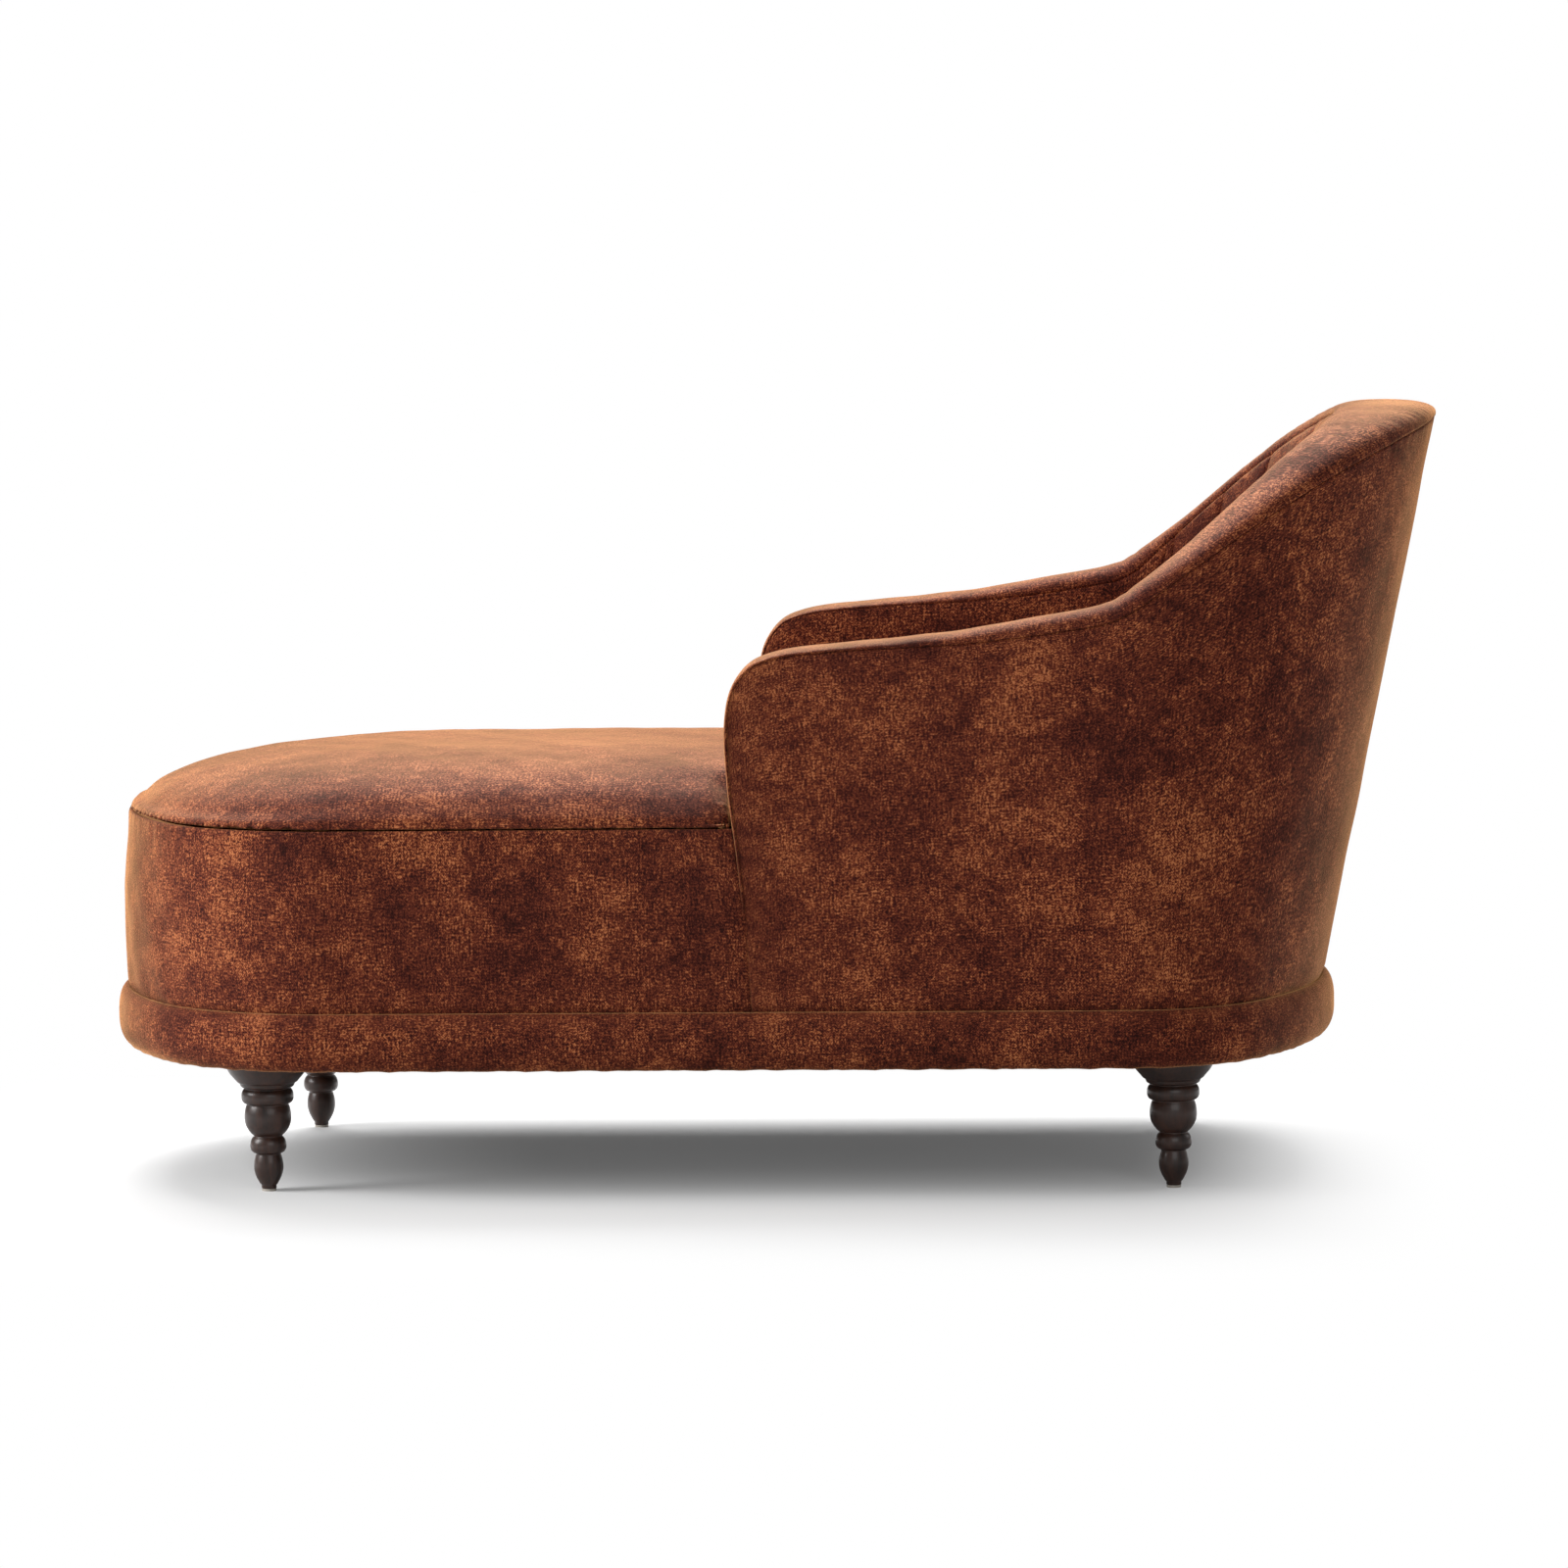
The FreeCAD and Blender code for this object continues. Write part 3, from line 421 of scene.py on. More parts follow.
def read(items: bpy.types.bpy_prop_collection, name: str) -> Array:
    """One vector attribute of all vertices, normals or faces, a row each."""
    out = np.empty(len(items) * 3, np.float32)
    items.foreach_get(name, out)
    return out.reshape(-1, 3).astype(float)


def corners_of(piece: Piece) -> Array:
    """The piece's vertices in millimetres, a row each."""
    return read(piece.data.vertices, "co") / MM


def move_to(piece: Piece, points: Array) -> None:
    """Put the piece's vertices at these points, in millimetres."""
    piece.data.vertices.foreach_set("co", (points * MM).astype(np.float32).ravel())
    piece.data.update()


def set_uv(piece: Piece, flat: Array) -> None:
    """Give the piece a UV map in metres of cloth.

    Args:
        piece: The piece.
        flat: Each vertex's place on the cloth, in millimetres.
    """
    layer = piece.data.uv_layers.active or piece.data.uv_layers.new(name="UVMap")
    index = np.empty(len(piece.data.loops), np.int32)
    piece.data.loops.foreach_get("vertex_index", index)
    layer.data.foreach_set("uv", (flat[index] * MM).astype(np.float32).ravel())


def shape_with(piece: Piece, kind: str, **settings: object) -> None:
    """Apply one modifier.

    Args:
        piece: The piece to change.
        kind: The modifier's type.
        settings: Its settings by name.
    """
    modifier = piece.modifiers.new(kind.lower(), kind)
    for key, item in settings.items():
        setattr(modifier, key, item)
    pick(piece)
    bpy.ops.object.modifier_apply(modifier=modifier.name)


def tidy_mesh(piece: Piece, merge: float = 0.02, outward: bool = True) -> None:
    """Merge doubles, turn the faces outwards and shade smoothly.

    Args:
        piece: The piece to finish.
        merge: Distance under which vertices join, in millimetres.
        outward: Whether to recalculate the normals.
    """
    edit_all(piece)
    bpy.ops.mesh.remove_doubles(threshold=merge * MM)
    bpy.ops.mesh.dissolve_degenerate(threshold=0.001 * MM)
    if outward:
        bpy.ops.mesh.normals_make_consistent(inside=False)
    bpy.ops.object.mode_set(mode="OBJECT")
    bpy.ops.object.shade_smooth()


def back_up(piece: Piece, wall: float, centre: float, weights: tuple[float, float]) -> None:
    """Turn an open sheet to look the right way and thicken it behind.

    Args:
        piece: The sheet.
        wall: Its thickness in millimetres.
        centre: X of the upright line that the sheet looks away from.
        weights: How X and Y count in that direction, negative where it looks inwards.
    """
    away = (read(piece.data.polygons, "center")[:, :2] / MM - (centre, 0.0)) * weights
    if (read(piece.data.polygons, "normal")[:, :2] * away).sum() < 0.0:
        edit_all(piece)
        bpy.ops.mesh.flip_normals()
        bpy.ops.object.mode_set(mode="OBJECT")
    shape_with(piece, "SOLIDIFY", thickness=wall * MM, offset=-1.0)
    tidy_mesh(piece, outward=False)


def copy_of_node(name: str, node: Piece) -> Piece:
    """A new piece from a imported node, with its loose triangles joined.

    Args:
        name: The new piece's name.
        node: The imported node.

    Returns:
        The new piece.
    """
    piece = node.copy()
    piece.data = node.data.copy()
    piece.parent = None
    for key in list(piece.keys()):
        del piece[key]
    bpy.context.scene.collection.objects.link(piece)
    piece.data.materials.clear()
    pick(piece)
    named(name)
    tidy_mesh(piece)
    return piece


def swell(piece: Piece, cap: float, free: Callable[[Array], Array], pressure: float, frames: int) -> None:
    """Blow the padding up with a cloth simulation and keep the result.

    Args:
        piece: A closed evenly meshed piece.
        cap: The furthest that a point may move, in millimetres.
        free: Gives how free each point is, from 0 where it is sewn down to 1.
        pressure: The air pressure inside.
        frames: How many steps to run.
    """
    before = corners_of(piece)
    modifier = piece.modifiers.new("padding", "CLOTH")
    settings = modifier.settings
    settings.use_pressure = True
    settings.uniform_pressure_force = pressure
    settings.effector_weights.gravity = 0.0
    settings.quality = 4
    settings.tension_stiffness = 22.0
    settings.compression_stiffness = 12.0
    settings.bending_stiffness = 0.6
    modifier.collision_settings.use_collision = False
    modifier.point_cache.frame_start = 1
    modifier.point_cache.frame_end = frames
    scene = bpy.context.scene
    for frame in range(1, frames + 1):
        scene.frame_set(frame)
    pick(piece)
    bpy.ops.object.modifier_apply(modifier=modifier.name)
    scene.frame_set(1)
    moved = corners_of(piece) - before
    length = np.linalg.norm(moved, axis=1, keepdims=True)
    scale = np.minimum(1.0, cap / np.maximum(length, 1e-9))
    move_to(piece, before + moved * scale * free(before)[:, None])


# ---------------------------------------------------------------- shader expressions


def plug(tree: bpy.types.NodeTree, slot: bpy.types.NodeSocket, item: object) -> None:
    """Link or set one input socket.

    Args:
        tree: The socket's tree.
        slot: The input.
        item: A Value or an output socket to link, or a constant. A colour may have three numbers.
    """
    if isinstance(item, Value):
        item = item.socket
    if isinstance(item, bpy.types.NodeSocket):
        tree.links.new(item, slot)
    else:
        slot.default_value = (*item, 1.0) if slot.type == "RGBA" and len(item) == 3 else item


def add_node(tree: bpy.types.NodeTree, kind: str, settings: dict | None = None,
             inputs: dict | None = None) -> bpy.types.Node:
    """Add any node to a tree.

    Args:
        tree: The tree.
        kind: The node's type.
        settings: Attributes, set first. The key "stops" gives a ramp's positions and colours.
        inputs: What goes into its sockets, by name or number.

    Returns:
        The new node.
    """
    made = tree.nodes.new(kind)
    for key, item in (settings or {}).items():
        if key == "stops":
            elements = made.color_ramp.elements
            elements.remove(elements[-1])
            elements[0].position, elements[0].color = item[0]
            for position, colour in item[1:]:
                elements.new(position).color = colour
        else:
            setattr(made, key, item)
    for key, item in (inputs or {}).items():
        plug(tree, made.inputs[key], item)
    return made


@dataclass
class Value:
    """A shader socket that takes part in Python sums."""

    tree: bpy.types.NodeTree
    socket: bpy.types.NodeSocket

    def _math(self, operation: str, *items: "Value | float") -> "Value":
        """Add one Math node over these items and return its result."""
        node = add_node(self.tree, "ShaderNodeMath", {"operation": operation}, dict(enumerate(items)))
        return Value(self.tree, node.outputs[0])

    def __add__(self, other: "Value | float") -> "Value":
        """Sum."""
        return self._math("ADD", self, other)

    __radd__ = __add__

    def __sub__(self, other: "Value | float") -> "Value":
        """Difference."""
        return self._math("SUBTRACT", self, other)

    def __rsub__(self, other: float) -> "Value":
        """Difference the other way round."""
        return self._math("SUBTRACT", other, self)

    def __mul__(self, other: "Value | float") -> "Value":
        """Product."""
        return self._math("MULTIPLY", self, other)

    __rmul__ = __mul__

    def __truediv__(self, other: "Value | float") -> "Value":
        """Quotient."""
        return self._math("DIVIDE", self, other)

    def sine(self) -> "Value":
        """Sine."""
        return self._math("SINE", self)

    def size(self) -> "Value":
        """The value without its sign."""
        return self._math("ABSOLUTE", self)

    def clamp(self) -> "Value":
        """The value held between 0 and 1."""
        held = self * 1.0
        held.socket.node.use_clamp = True
        return held

    def ease(self) -> "Value":
        """The value eased in and out between 0 and 1."""
        return self * self * (3.0 - self * 2.0)

    def stretch(self, low: float, high: float) -> "Value":
        """0 at low and 1 at high, clamped."""
        return ((self - low) / (high - low)).clamp()


@dataclass
class Shader:
    """A material in the making."""

    name: str

    def __post_init__(self) -> None:
        """Start a fresh material with one principled shader."""
        self.material = bpy.data.materials.new(self.name)
        self.material.use_nodes = True
        self.tree = self.material.node_tree
        self.tree.nodes.clear()
        self.main = self.node("ShaderNodeBsdfPrincipled")
        self.out = self.node("ShaderNodeOutputMaterial", None, {0: self.main.outputs[0]})

    def node(self, kind: str, settings: dict | None = None, inputs: dict | None = None) -> bpy.types.Node:
        """Add any node, as add_node does."""
        return add_node(self.tree, kind, settings, inputs)

    def place(self) -> bpy.types.NodeSocket:
        """The object's own coordinates."""
        return self.node("ShaderNodeTexCoord").outputs["Object"]

    def parts(self, vector: bpy.types.NodeSocket) -> list[Value]:
        """A vector's three numbers."""
        return [Value(self.tree, out) for out in self.node("ShaderNodeSeparateXYZ", None, {0: vector}).outputs]

    def noise(self, scale: float, detail: float = 3.0, rough: float = 0.55, stretch: Colour = WHITE,
              twist: float = 0.0, where: bpy.types.NodeSocket | None = None) -> Value:
        """Cloudy noise in object coordinates, or in given ones.

        Args:
            scale: How many clouds to the metre.
            detail: Octaves.
            rough: How strong the finer octaves are.
            stretch: How the three directions are scaled.
            twist: Distortion.
            where: Other coordinates to use.

        Returns:
            The noise's value.
        """
        mapping = self.node("ShaderNodeMapping", None, {"Vector": where or self.place(), "Scale": stretch})
        noise = self.node("ShaderNodeTexNoise", None, {
            "Vector": mapping.outputs[0], "Scale": scale, "Detail": detail, "Roughness": rough,
            "Distortion": twist})
        return Value(self.tree, noise.outputs[0])

    def mix(self, amount: Value, low: Colour, high: Colour) -> bpy.types.NodeSocket:
        """Two colours mixed."""
        settings = {"data_type": "RGBA", "blend_type": "MIX", "clamp_factor": True}
        return self.node("ShaderNodeMix", settings, {0: amount, 6: low, 7: high}).outputs[2]

    def bump(self, height: Value, strength: float, distance: float) -> None:
        """Relief from a height, distance in millimetres."""
        made = self.node("ShaderNodeBump", None,
                         {"Height": height, "Strength": strength, "Distance": distance * MM})
        self.set(Normal=made.outputs[0])

    def set(self, **inputs: object) -> None:
        """Set or link the principled shader's own sockets, with _ for a blank."""
        for key, item in inputs.items():
            plug(self.tree, self.main.inputs[key.replace("_", " ")], item)


# ---------------------------------------------------------------- finishes


@dataclass(frozen=True)
class Velvet:
    """Crushed rust-brown velvet: a lively pile over a visible crossed weave.

    The tones are a ramp's stops from the crushed to the raised pile. The last four fields
    say how often the yarns and the weave repeat over a metre, or every so many millimetres.
    """

    tones: tuple[tuple[float, Colour], ...] = (
        (0.0, (0.016, 0.0026, 0.0017)), (0.30, (0.056, 0.0095, 0.0050)), (0.58, (0.130, 0.026, 0.0105)),
        (0.80, (0.240, 0.062, 0.0210)), (1.0, (0.41, 0.140, 0.050)))
    sheen: Colour = (1.0, 0.50, 0.205)
    upright: Colour = (340.0, 62.0, 1.0)
    lengthwise: Colour = (75.0, 310.0, 1.0)
    fine: Colour = (370.0, 370.0, 1.0)
    weave: float = 3.3

    def make(self) -> bpy.types.Material:
        """Build the material."""
        s = Shader("crushed_velvet")
        uv = s.node("ShaderNodeUVMap").outputs[0]
        along, up, _ = s.parts(uv)
        turns = 2.0 * math.pi / (self.weave * MM)
        drift = s.noise(26.0, 2.0, 0.5)
        weave = (along * turns + drift * 16.0).sine() * (up * turns * 0.86 + drift * 13.0).sine()
        yarn_up = s.noise(1.0, 2.0, 0.6, self.upright, where=uv) - 0.5
        yarn_along = s.noise(1.0, 2.0, 0.6, self.lengthwise, where=uv) - 0.5
        speck = s.noise(1.0, 2.0, 0.65, self.fine, where=uv) - 0.5
        crush = s.noise(6.5, 3.0, 0.55) - 0.5
        patch = s.noise(24.0, 7.0, 0.74, (1.0, 1.0, 1.15)) - 0.5
        nap = crush * 1.35 + patch * 2.1
        lively = (nap * 0.8 + 0.75).clamp()
        thread = yarn_up * 1.05 + yarn_along * 0.75 + speck * 2.1 + weave * 0.13
        tone = (nap * 0.60 + thread * (lively + 0.42) + 0.435).clamp()
        stops = [(at, (*colour, 1.0)) for at, colour in self.tones]
        ramp = s.node("ShaderNodeValToRGB", {"stops": stops}, {0: tone})
        s.set(Base_Color=ramp.outputs[0], Roughness=(0.90 - tone * 0.18).clamp(), Specular_IOR_Level=0.12,
              Sheen_Weight=0.95, Sheen_Roughness=0.27, Sheen_Tint=self.sheen)
        s.bump(thread * 0.32 + nap * 0.62, 0.55, 1.4)
        return s.material


@dataclass(frozen=True)
class TurnedWood:
    """Espresso-stained hardwood under a satin lacquer."""

    dark: Colour = (0.0075, 0.0040, 0.0032)
    warm: Colour = (0.052, 0.0185, 0.0098)

    def make(self) -> bpy.types.Material:
        """Build the material."""
        s = Shader("espresso_wood")
        grain = s.noise(14.0, 6.0, 0.62, (6.0, 6.0, 0.55), 0.8)
        streak = s.noise(60.0, 4.0, 0.7, (5.0, 5.0, 0.35), 0.3)
        tone = (grain.stretch(0.32, 0.70) * 0.7 + streak.stretch(0.4, 0.7) * 0.3).clamp()
        s.set(Base_Color=s.mix(tone, self.dark, self.warm), Roughness=(0.34 + streak * 0.14).clamp(),
              Coat_Weight=0.15, Coat_Roughness=0.14, Specular_IOR_Level=0.38)
        s.bump(streak * 0.6 + grain * 0.4, 0.12, 0.4)
        return s.material


@dataclass(frozen=True)
class SawnWood:
    """Planed frame timber."""

    name: str
    pale: Colour
    dark: Colour
    rings: float = 18.0

    def make(self) -> bpy.types.Material:
        """Build the material."""
        s = Shader(self.name)
        grain = s.noise(self.rings, 6.0, 0.65, (0.35, 3.2, 3.2), 1.2)
        fibre = s.noise(220.0, 3.0, 0.6, (0.06, 1.0, 1.0))
        tone = (grain.stretch(0.35, 0.68) * 0.75 + fibre * 0.35).clamp()
        s.set(Base_Color=s.mix(tone, self.pale, self.dark), Roughness=(0.55 + fibre * 0.25).clamp())
        s.bump(fibre * 0.7 + grain * 0.3, 0.2, 0.5)
        return s.material


@dataclass(frozen=True)
class PlainCloth:
    """A technical cloth such as webbing, felt or dust cloth."""

    name: str
    tone: Colour
    light: Colour
    pitch: float = 2.0

    def make(self) -> bpy.types.Material:
        """Build the material."""
        s = Shader(self.name)
        x, y, _ = s.parts(s.place())
        turns = 2.0 * math.pi / (self.pitch * MM)
        weave = ((x * turns).sine() * (y * turns).sine() * 0.5 + 0.5).clamp()
        fuzz = s.noise(300.0, 4.0, 0.7)
        s.set(Base_Color=s.mix((weave * 0.5 + fuzz * 0.5).clamp(), self.tone, self.light),
              Roughness=(0.82 + fuzz * 0.15).clamp(), Specular_IOR_Level=0.2)
        s.bump(weave * 0.7 + fuzz * 0.5, 0.4, 0.5)
        return s.material


@dataclass(frozen=True)
class Hard:
    """A hard even material with faint clouds, such as plated steel or moulded nylon.

    The clouds turn the tone to cloudy times as bright. Gloss holds the least roughness and
    how much the clouds add to it.
    """

    name: str
    tone: Colour
    cloudy: float
    clouds: float
    gloss: tuple[float, float]
    relief: float
    metallic: float = 0.0

    def make(self) -> bpy.types.Material:
        """Build the material."""
        s = Shader(self.name)
        cloud = s.noise(self.clouds, 4.0, 0.6)
        s.set(Base_Color=s.mix(cloud, self.tone, tuple(c * self.cloudy for c in self.tone)),
              Metallic=self.metallic, Roughness=(self.gloss[0] + cloud * self.gloss[1]).clamp())
        s.bump(cloud, self.relief, 0.2)
        return s.material


# ---------------------------------------------------------------- upholstered pieces


@dataclass
class Upholstery:
    """What every covered piece shares."""

    plan: Plan
    rim: RimLine
    velvet: bpy.types.Material

    def finish(self, piece: Piece, fill: float, *nodes: str) -> Piece:
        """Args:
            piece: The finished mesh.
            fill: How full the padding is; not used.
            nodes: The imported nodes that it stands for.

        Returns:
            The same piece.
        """
        dress(piece, self.velvet)
        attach(piece, BODY)
        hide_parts(*nodes)
        LOG.info("%s: %d faces", piece.name, len(piece.data.polygons))
        return piece


@dataclass
class LaidCover(Upholstery):
    """A covered piece whose surface is a formula that a grid is laid over."""

    def place(self, u: Array, v: Array) -> Array:
        """Points of the surface in millimetres, for u along and v across it from 0 to 1."""
        raise NotImplementedError

    def lay(self, name: str, faces: tuple[int, int], cloth: tuple[float, float],
            shift: float = 0.0) -> Piece:
        """Lay a grid over the surface, with a UV map in metres of cloth.

        Args:
            name: The piece's name.
            faces: How many faces along and across.
            cloth: The cloth's length and width in millimetres.
            shift: Where on the cloth the piece starts.

        Returns:
            The new piece.
        """
        deselect()
        bpy.ops.mesh.primitive_grid_add(x_subdivisions=faces[0], y_subdivisions=faces[1], size=1.0,
                                        calc_uvs=True)
        piece = named(name)
        u, v, _ = (corners_of(piece) * MM + 0.5).T
        move_to(piece, self.place(u, v))
        set_uv(piece, np.stack([u * cloth[0] + shift, v * cloth[1]], axis=1))
        return piece


@dataclass
class BaseBand(LaidCover):
    """The fat padded band round the foot of the body."""

    bottom: float = 163.0
    top: float = 236.0
    depth: float = 21.0
    top_inset: float = 14.0
    face: float = 0.86

    def section(self, v: Array) -> tuple[Array, Array]:
        """The band's closed section: a full face, then a flat back.

        Args:
            v: From 0 to 1 round the section, with the face up to its own share.

        Returns:
            Inset and height.
        """
        mid_z = self.bottom + 0.53 * (self.top - self.bottom)
        angle = np.pi * (0.5 - np.clip(v / self.face, 0.0, 1.0))
        sine, cosine = np.sin(angle), np.cos(angle)
        up = sine > 0.0
        z = np.where(up, mid_z + (self.top - mid_z) * np.abs(sine) ** 0.88,
                     mid_z - (mid_z - self.bottom) * np.abs(sine) ** 0.80)
        inset = np.where(up, self.top_inset, self.depth) * (1.0 - np.abs(cosine) ** 0.85)
        back = np.clip((v - self.face) / (1.0 - self.face), 0.0, 1.0)
        back_inset = self.depth - (self.depth - self.top_inset) * smooth_step(0.8, 1.0, back)
        behind = v > self.face
        return (np.where(behind, back_inset, inset),
                np.where(behind, self.bottom + (self.top - self.bottom) * back, z))

    def place(self, u: Array, v: Array) -> Array:
        """Points of the band, u round the outline and v round its section."""
        inset, z = self.section(v)
        run = u * self.plan.girth
        loop = np.minimum(u, 1.0 - u) * self.plan.girth
        half = self.face / 2.0
        outer = np.clip(1.0 - np.abs(v - half) / half, 0.0, 1.0)
        low = smooth_step(0.62, 0.80, v) * (1.0 - smooth_step(0.84, 0.87, v))
        high = (1.0 - smooth_step(0.02, 0.20, v)) * smooth_step(0.0, 0.03, v)
        bulge = waver(11, (loop, 210.0)) * 0.7 * outer
        pucker = waver(12, (run, 34.0)) * 0.75 * low + waver(13, (run, 55.0)) * 0.4 * high
        sag = waver(14, (loop, 330.0)) * 0.9 * low
        inset = np.maximum(inset - bulge - pucker, 0.0)
        x, y, _, _ = self.plan.outline(u, inset)
        z = z - np.abs(sag) * 0.6 + waver(15, (run, 70.0)) * 0.9 * low
        return np.stack([x, y, z], axis=1)

    def make(self) -> Piece:
        """Build the band."""
        piece = self.lay("base_band", (620, 34), (self.plan.girth, 150.0))
        tidy_mesh(piece)
        return self.finish(piece, 0.9, "band_cover", "band_core")


@dataclass
class SeatBorder(LaidCover):
    """The upright cover round the foot end, below the seat's seam."""

    bottom: float = 232.0
    seam: float = 463.0
    face: float = 0.93
    overlap: float = 4.0
    dive_run: float = 120.0

    def reach_t(self) -> float:
        """The outline's t where the near arm's front edge stands."""
        lengths = self.plan.runs()
        run = lengths[0] + lengths[1] + (self.plan.back_join + self.overlap)
        return 0.5 * run / lengths.sum()

    def bulge(self, z: Array) -> Array:
        """Inset of the cover from the outer outline at a height."""
        rise = (z - self.bottom) / (self.seam - self.bottom)
        return (13.0 - 2.6 * np.sin(np.pi * np.clip(rise, 0.0, 1.0)) ** 0.8
                + 6.0 * smooth_step(0.55, 1.0, rise))

    def place(self, u: Array, v: Array) -> Array:
        """Points of the cover, rolled in at its top edge and diving behind the arms' fronts."""
        start = self.reach_t()
        t = start + (1.0 - 2.0 * start) * u
        roll = np.clip((v - self.face) / (1.0 - self.face), 0.0, 1.0)
        z = self.bottom + (self.seam + 0.5 - self.bottom) * np.clip(v / self.face, 0.0, 1.0)
        run = t * self.plan.girth
        near_seam = smooth_step(self.seam - 40.0, self.seam - 4.0, z)
        inset = self.bulge(z) + waver(21, (run, 46.0)) * 0.55 * near_seam
        inset = inset + waver(22, (run, 190.0), (z, 240.0)) * 0.9
        inset = inset + 1.6 * rounded(np.clip((z - (self.seam - 2.5)) / 3.0, 0.0, 1.0))
        inset = inset + 16.0 * roll + self.plan.groove(z)
        x, y, _, _ = self.plan.outline(t, inset)
        front = self.rim.front(z)
        x = x + (front + 13.0) * (1.0 - smooth_step(0.0, self.dive_run, -self.overlap - x))
        dive = 2.0 * smooth_step(-26.0, -4.0, x - front) + 8.0 * smooth_step(-4.0, 6.0, x - front)
        return np.stack([x, y - np.sign(y) * dive, z - 2.5 * roll], axis=1)

    def make(self) -> Piece:
        """Build the cover."""
        piece = self.lay("seat_border", (460, 56), (self.plan.girth * 0.6, 240.0))
        back_up(piece, 7.0, -300.0, (1.0, 1.0))
        return self.finish(piece, 0.8, "seat_border_cover", "seat_border_wadding")


@dataclass
class SeatTop(Upholstery):
    """The crowned seat, from the foot end to under the back."""

    nodes: dict = field(default_factory=dict)
    voxel: float = 7.0
    seam: float = 463.0
    edge_inset: float = 19.0
    tuck: float = 13.0
    settle: float = 12.0

    def make(self) -> Piece:
        """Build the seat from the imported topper's own solid."""
        piece = copy_of_node("seat_top", self.nodes["seat_topper"])
        shape_with(piece, "REMESH", mode="VOXEL", voxel_size=self.voxel * MM, use_smooth_shade=True)
        swell(piece, 2.2, lambda co: smooth_step(self.seam + 10.0, self.seam + 45.0, co[:, 2]), 3.0, 20)
        shape_with(piece, "SUBSURF", levels=1, render_levels=1)
        shape_with(piece, "SMOOTH", factor=0.5, iterations=2)
        self.shape(piece)
        tidy_mesh(piece, merge=0.001, outward=False)
        set_uv(piece, self.cloth(corners_of(piece)))
        return self.finish(piece, 0.85, "seat_topper", "seat_top_cover", "seat_foam", "seat_insulator")

    def cloth(self, co: Array) -> Array:
        """The cloth's own two lengths, running down over the rounded edge.

        Args:
            co: The seat's points.

        Returns:
            A row per point.
        """
        drop = np.clip(self.seam + 55.0 - co[:, 2], 0.0, 60.0)
        foot = smooth_step(0.25, 0.8, -(co[:, 0] + 536.0) / 290.0)
        side = np.sign(co[:, 1]) * (1.0 - foot) * smooth_step(0.0, 60.0, np.abs(co[:, 1]))
        return np.stack([co[:, 0] + 4000.0 - drop * 0.8 * foot, co[:, 1] + 9000.0 + drop * 0.8 * side], axis=1)

    def tucked(self, x: Array, y: Array, z: Array) -> Array:
        """How far the cover is drawn down beside the arms and before them, from 0 to 1."""
        gap = self.plan.half_width - self.plan.band_proud - self.plan.arm_wall
        front = self.arm_front()
        beside = (1.0 - smooth_step(0.0, 34.0, gap - np.abs(y))) * smooth_step(front - 30.0, front + 10.0, x)
        before = (1.0 - smooth_step(0.0, 30.0, front - x)) * smooth_step(gap - 40.0, gap, np.abs(y))
        before = before * (x < front + 2.0) * smooth_step(self.seam + 18.0, self.seam + 44.0, z)
        return np.maximum(beside, before)

    def arm_front(self) -> float:
        """X just ahead of the arm's front edge over the seat."""
        return float(self.rim.front(500.0)) - 6.0

    def shape(self, piece: Piece) -> None:
        """Lay the edge on the border's seam, tuck the cover beside the arms and let it pucker.

        Args:
            piece: The smooth seat.
        """
        co = corners_of(piece)
        normal = read(piece.data.vertex_normals, "vector")
        x, y, z = co.T.copy()
        height = z.copy() - self.seam
        upper = (height > 3.0) & (normal[:, 2] > 0.05)
        front = self.arm_front()
        settled = self.settle * smooth_step(-400.0, -740.0, x) * smooth_step(3.0, 34.0, height)
        z = z - self.tuck * self.tucked(x, y, z) * upper - settled
        edge = (1.0 - smooth_step(4.0, 34.0, height)) * (x < front)
        ox, oy, nx, ny = self.plan.outline(np.linspace(0.25, 0.75, 2400), self.edge_inset)
        rows = np.flatnonzero((height < 32.0) & (height > -3.0) & (x < front - 4.0) & (normal[:, 2] > -0.6))
        best = ((x[rows, None] - ox) ** 2 + (y[rows, None] - oy) ** 2).argmin(axis=1)
        rise = np.clip(height[rows], 0.0, 40.0)
        deep = -((x[rows] - ox[best]) * nx[best] + (y[rows] - oy[best]) * ny[best])
        wanted = np.interp(rise, [0.0, 4.0, 14.0, 31.0], [0.0, 1.2, 7.0, 24.0])
        push = (deep - wanted) * (1.0 - smooth_step(16.0, 32.0, rise)) * (deep < 45.0)
        x[rows] += nx[best] * push
        y[rows] += ny[best] * push
        z[rows] -= 2.2 * (1.0 - smooth_step(0.0, 9.0, rise)) * (deep < 25.0)
        around = np.arctan2(y, x + 300.0) * 620.0
        lump = waver(31, (around, 60.0)) * 0.7 * edge + waver(32, (x, 300.0), (y, 260.0)) * upper
        move_to(piece, np.stack([x, y, z], axis=1) + normal * lump[:, None])


